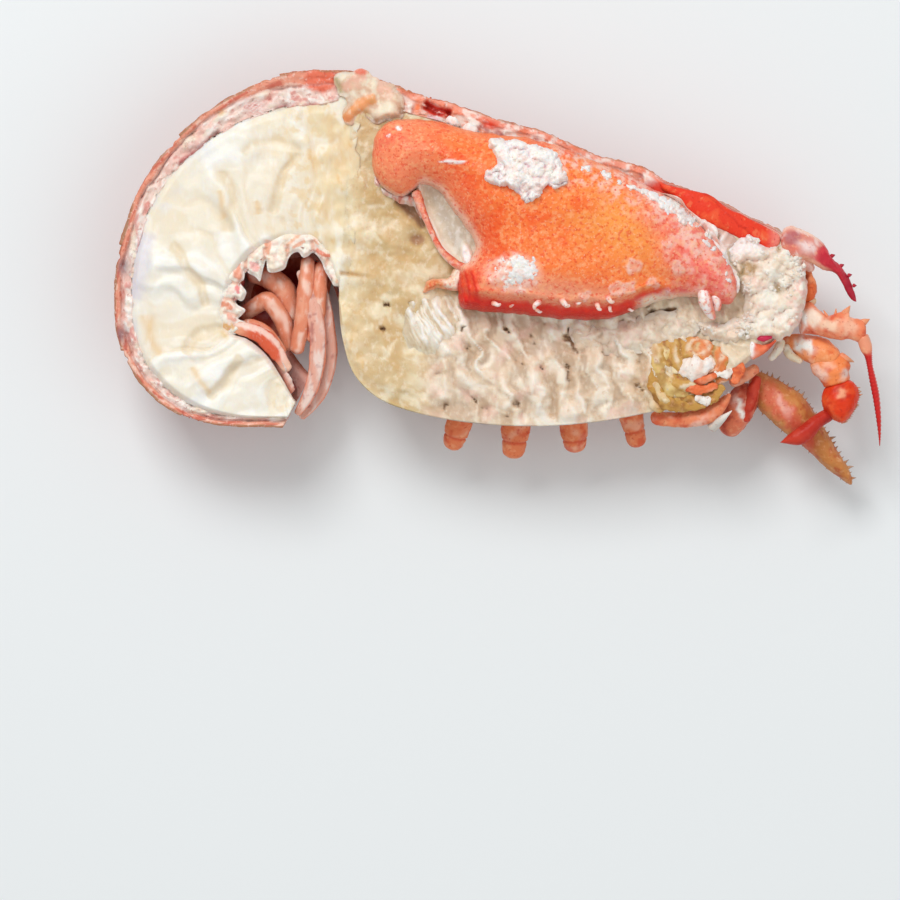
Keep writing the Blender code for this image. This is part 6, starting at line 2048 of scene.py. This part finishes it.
def sheet_top(x, y, away):
    """A pinkish folded sheet between the claw's edge and the curd."""
    fold = noise(np.stack([x - 0.5 * y, 0.3 * y, 0 * x], -1), 1.7, 317)
    rise = 0.4 + smooth(away, 0, 1.0) * (0.9 + 0.7 * fold)
    tint = coat(
        # Painted highlights on the raised folds and painted shade between them.
        x, (0.82, 0.62, 0.55), ((0.92, 0.82, 0.78), smooth(fold, 0, 0.5)),
        ((0.58, 0.36, 0.28), 0.8 * smooth(-fold, 0.1, 0.6)),
        ((0.4, 0.14, 0.08), spot(x, y, (63.6, 6.4), 1.2, 1.4)))
    return rise, tint


def build_beak():
    """The beak with its thorns, the fold below it and the stub of the eye's stalk."""
    crimson = ((0.5, 0.03, 0.05), (0.3, 0.02, 0.04))
    thorns = [thorn((x, y, 28), (x + a, y + b, 28.4), 0.8, *crimson) for x, y, a, b in BEAK_THORNS]
    piece("beak_blade", joined([blade(*BEAK, beak_top, 44, 130, (0.06, 0.05)), *thorns]), LIMB, "beak")
    blush = limb_paint((0.8, 0.44, 0.36), (0.93, 0.76, 0.7), (0.5, 0.14, 0.1), 352)
    fold = [(79.6, 7.4, 29.6), (83.2, 5.6, 30), (86.4, 4.2, 29), (88.6, 2.4, 27.6)]
    piece("beak_under_fold", limb(fold, [2.0, 2.4, 1.9, 0.9], blush, 34, 70, 0.7), LIMB)
    red = limb_paint((0.8, 0.17, 0.05), (0.88, 0.4, 0.2), (0.34, 0.03, 0.02), 351)
    tan = limb_paint((0.72, 0.5, 0.3), IVORY, BROWN, 356)
    stalk = [(86.2, 5.4, 26), (87.4, 1.2, 26.6), (87.8, -2.8, 26.4), (86.6, -6.4, 25)]
    piece("eye_stalk_stub", joined([limb(stalk, [1.4, 1.0, 2.0, 1.3], red, 26, 60),
                                    limb([(86.6, -5.2, 25), (89.4, -6.6, 26)], [1.3, 1.0], tan, 20, 24)]),
          LIMB, "eye_stalk")


def build_feeler():
    """The feeler's thick root with its thorns, and the whip that hangs from it."""
    marks = [((0.93, 0.74, 0.6), 88.4, -11, 2.6, 3.2, 15), ((0.93, 0.6, 0.42), 93, -13, 3.0, 1.8, -10),
             ((0.93, 0.48, 0.32), 98.4, -13.4, 2.6, 2.4, 0), (WARM_WHITE, 85.6, -10, 1.0, 5, 0)]
    shell = limb_paint((0.88, 0.24, 0.11), (0.92, 0.42, 0.26), (0.7, 0.09, 0.04), 361, marks)
    thorns = [thorn(foot, tip, wide, (0.88, 0.34, 0.18), (0.78, 0.3, 0.14))
              for foot, tip, wide in FEELER_THORNS]
    piece("feeler_root", joined([blade(*FEELER_ROOT, shell, 44, 120, (0.04, 0.08)), *thorns]), LIMB,
          "feeler_base")
    piece("feeler_whip", blade(*FEELER, whip, 26, 240, (0.05, 0.04)), LIMB, "feeler")


def build_flap():
    """The curled flap by the mouth, its crimson edge and two pale bristles."""
    marks = [(WHITE, 70.6, -19.4, 1.4, 4, -10)]
    shell = limb_paint((0.86, 0.2, 0.09), (0.92, 0.56, 0.44), (0.6, 0.05, 0.03), 366, marks)
    edge = limb_paint((0.62, 0.03, 0.09), (0.86, 0.46, 0.46), CRIMSON, 367, (), 1.6)
    pale = limb_paint((0.82, 0.72, 0.52), WARM_WHITE, TAN, 368)
    lip = [(72.2, -16.0, 31.6), (73.4, -16.5, 32.3), (75.2, -16.5, 32.4), (76.8, -16.2, 31.8)]
    bristles = [[(80.2, -16.8, 25), (78.6, -20, 25.6), (76.4, -22.6, 25)],
                [(81, -18.2, 22), (82.6, -21.2, 22.4), (85.9, -23.2, 22)]]
    piece(
        "curled_mouth_flap",
        joined([blade(*CURLED_FLAP, shell, 30, 60, (0.15, 0.2)),
                limb(lip, [0.4, 0.9, 0.8, 0.4], edge, 24, 40, 0.5),
                *[limb(path, [1.2, 1.3, 0.8], pale, 20, 40) for path in bristles]]),
        LIMB)


def build_head():
    piece("head_curd_bed", mound(HEAD_CURD, 0.34, CUT + 0.6, curd_top, rough=0.9), WHITE_CURD,
          "head_curd")
    piece("head_curd_crumbs", curd_crumbs(), WHITE_CURD)
    piece("head_inner_skin", blade(*HEAD_BAND, band_paint, 60, 200, (0.05, 0.05)), LIMB, "head_skin")
    piece("head_pink_sheet", mound(PINK_SHEET, 0.35, CUT + 0.4, sheet_top, rough=0.3), WHITE_CURD)
    build_beak()
    build_feeler()
    build_flap()


# The legs by the mouth and below the trunk.

LEG_RED = (0.66, 0.08, 0.03)


def build_mouth_leg():
    """The bent leg by the mouth: thigh and knee, spiny shin, and toe."""
    thigh = limb_paint((0.92, 0.32, 0.12), (0.95, 0.6, 0.42), (0.78, 0.12, 0.03), 371,
                       [(WARM_WHITE, 86.4, -18.5, 3.4, 2.0, -28)])
    knee = limb_paint((0.9, 0.26, 0.08), (0.94, 0.54, 0.38), LEG_RED, 372,
                      [((0.9, 0.56, 0.44), 90.6, -26, 1.6, 3, 30), (BLUSH, 97.6, -26.4, 1.2, 1.8, -20)])
    piece(
        "mouth_leg_upper",
        joined([blade(*THIGH, thigh, 44, 100, (0.12, 0.08)), blade(*KNEE, knee, 44, 80, (0.12, 0.12)),
                thorn((96, -21.4, 23.6), (100.4, -23.2, 24), 1.5, (0.88, 0.34, 0.18), (0.6, 0.34, 0.2))]),
        LIMB, "mouth_leg_thigh")
    shin = limb_paint((0.76, 0.045, 0.008), (0.86, 0.14, 0.04), (0.56, 0.02, 0.008), 376,
                      [((0.88, 0.36, 0.2), 96.6, -32, 1.2, 1.8, 0)])
    horn = ((0.7, 0.2, 0.08), (0.62, 0.46, 0.3))
    spines = [edge_spines(SHIN, reach, 0.7, 1.0, seed, horn, (0.2, 0.98))
              for reach, seed in ((0.4, 406), (0.9, 407), (0.1, 408))]
    piece("mouth_leg_middle", joined([blade(*SHIN, shin, 48, 110, (0.12, 0.1)), *spines]),
          LIMB, "mouth_leg_shin")
    toe = limb_paint((0.5, 0.025, 0.012), (0.62, 0.06, 0.03), (0.34, 0.015, 0.01), 381, (), 0.3)
    piece("mouth_leg_end", blade(*TOE, toe, 40, 80, (0.15, 0.25)), LIMB, "mouth_leg_toe")


def build_side_arm():
    """The long side arm with rows of spines along both edges."""
    marks = [((0.74, 0.17, 0.09), 79.5, -35, 3.2, 9, 38), ((0.86, 0.42, 0.34), 81, -36, 1.3, 5, 32),
             ((0.66, 0.1, 0.05), 86, -43, 2.4, 7, 32)]
    arm = limb_paint((0.58, 0.22, 0.06), (0.7, 0.34, 0.11), (0.46, 0.08, 0.03), 386, marks)
    horn = ((0.62, 0.28, 0.1), (0.36, 0.28, 0.24))
    lower = (ARM[1], ARM[0], *ARM[2:])
    rows = ((ARM, 0.4, 1.6, 1.7, 411), (ARM, 1.3, 2.6, 1.3, 412), (lower, 0.5, 2.4, 1.3, 413))
    spines = [edge_spines(*row, horn) for row in rows]
    piece("spiny_side_arm", joined([blade(*ARM, arm, 54, 160, (0.06, 0.08)), *spines]), LIMB,
          "spiny_arm")


def build_leg_roots():
    """The stumps of the cut leg roots and the spiny rim of their socket."""
    root = [(69.4, -29, 19), (69.6, -33, 19), (67.6, -38, 18), (64.4, -43.4, 16)]
    root_shell = limb_paint(
        (0.78, 0.2, 0.1), (0.88, 0.54, 0.46), (0.42, 0.04, 0.03), 391,
        [(WARM_WHITE, 68.4, -36.4, 1.0, 4, 14)])
    tube = [(65.4, -29.4, 24), (69.4, -27, 25), (73.4, -24.6, 25)]
    tube_shell = limb_paint((0.86, 0.32, 0.17), (0.92, 0.6, 0.44), LEG_RED, 392)
    deep = [(73.4, -27, 22), (71.5, -33, 22), (70, -40, 20)]
    deep_shell = limb_paint((0.6, 0.06, 0.03), (0.8, 0.3, 0.2), DEEP_RED, 393)
    piece(
        "leg_root_stump",
        joined([limb(root, [3.0, 4.2, 4.0, 3], root_shell, 44, 90),
                limb(tube, [1.5, 1.8, 1.4], tube_shell, 26, 50),
                limb(deep, [1.2, 1.9, 1.3], deep_shell, 26, 50)]),
        LIMB, "leg_root")
    rim = limb_paint((0.86, 0.26, 0.12), (0.92, 0.66, 0.56), LEG_RED, 396)
    piece(
        "socket_rim",
        joined([blade(*SOCKET_STRIP, rim, 40, 110, (0.08, 0.12)),
                *[edge_spines(SOCKET_STRIP, reach, 0.6, 0.8, seed, (WARM_WHITE, WHITE), (0.1, 0.9))
                  for reach, seed in ((0.3, 414), (0.8, 415))],
                thorn((59.6, -42, 25.6), (65.8, -36.8, 28), 1.8, (0.62, 0.58, 0.52), WARM_WHITE)]),
        LIMB, "socket_edge")


def build_stubs():
    """The broken legs below the trunk: jointed tubes with white meat at their ends."""
    for k, (share, reach, lean, wide) in enumerate(LEG_STUBS):
        at = np.array([share])
        path = []
        for out, height in ((-4, 20), (0.3, 19), (4, 18), (reach, 15.6)):
            x, y = BODY.plan(at, BODY.width(at) + out)
            path.append((x[0] + lean * out, y[0], height))
        shell = limb_paint((0.8, 0.22, 0.09), (0.9, 0.5, 0.34), LEG_RED, 396 + k)

        def stub(p, share, turn):
            rise, tint = shell(p, share, turn)
            inside = smooth(share, 0.94, 0.975)
            joint = np.exp(-((share - 0.62) / 0.03) ** 2)
            return rise - 0.6 * inside - 0.5 * joint, painted(
                tint, (WARM_WHITE, inside), (LEG_RED, 0.7 * joint))

        form = limb(path, [1.05 * wide, wide, 0.86 * wide, 0.72 * wide], stub, 44, 90, 0.85)
        piece(f"broken_leg_{k + 1}", form, LIMB, f"leg_stub_{k + 1}")


# The floor, the lights and the camera, which looks straight down.

LENS = 200
SENSOR = 36
VIEW_WIDTH = 252
VIEW_CENTRE = (-13.3, -47.9)


def light(name, at, size, power, colour=(1, 1, 1)):
    """A soft square lamp that faces the middle of the object."""
    lamp = bpy.data.lights.new(name, "AREA")
    lamp.size = size
    lamp.energy = power
    lamp.color = colour
    made = bpy.data.objects.new(name, lamp)
    made.location = at
    made.rotation_euler = (-Vector(at)).to_track_quat("-Z", "Y").to_euler()
    made.visible_camera = False
    bpy.context.collection.objects.link(made)


def set_stage():
    """A pale floor, soft light from above and the camera looking straight down."""
    bpy.ops.mesh.primitive_plane_add(size=12, location=(0, 0, -0.0002))
    floor = bpy.context.object
    floor.name = "floor"
    pale = bpy.data.materials.new("pale floor")
    pale.use_nodes = True
    shader = pale.node_tree.nodes["Principled BSDF"]
    shader.inputs["Base Color"].default_value = (0.81, 0.845, 0.855, 1)
    shader.inputs["Roughness"].default_value = 0.9
    floor.data.materials.append(pale)
    world = bpy.data.worlds.new("soft room")
    bpy.context.scene.world = world
    world.use_nodes = True
    sky = world.node_tree.nodes["Background"]
    sky.inputs["Color"].default_value = (1, 1, 1, 1)
    sky.inputs["Strength"].default_value = 0.5
    light("key", (-0.45, 0.9, 1.25), 0.7, 14.4)
    light("fill", (0.8, -0.5, 1.2), 1.4, 4.5)
    scene = bpy.context.scene
    scene.view_settings.view_transform = "Standard"
    lens = bpy.data.cameras.new("camera")
    lens.lens = LENS
    lens.sensor_width = SENSOR
    eye = bpy.data.objects.new("camera", lens)
    x, y = VIEW_CENTRE
    eye.location = (x * MM, y * MM, CUT * MM + VIEW_WIDTH * MM * LENS / SENSOR)
    lens.clip_end = 20
    bpy.context.collection.objects.link(eye)
    scene.camera = eye


build_tail()
build_trunk()
build_claw()
build_head()
build_mouth_leg()
build_side_arm()
build_leg_roots()
build_stubs()
set_stage()
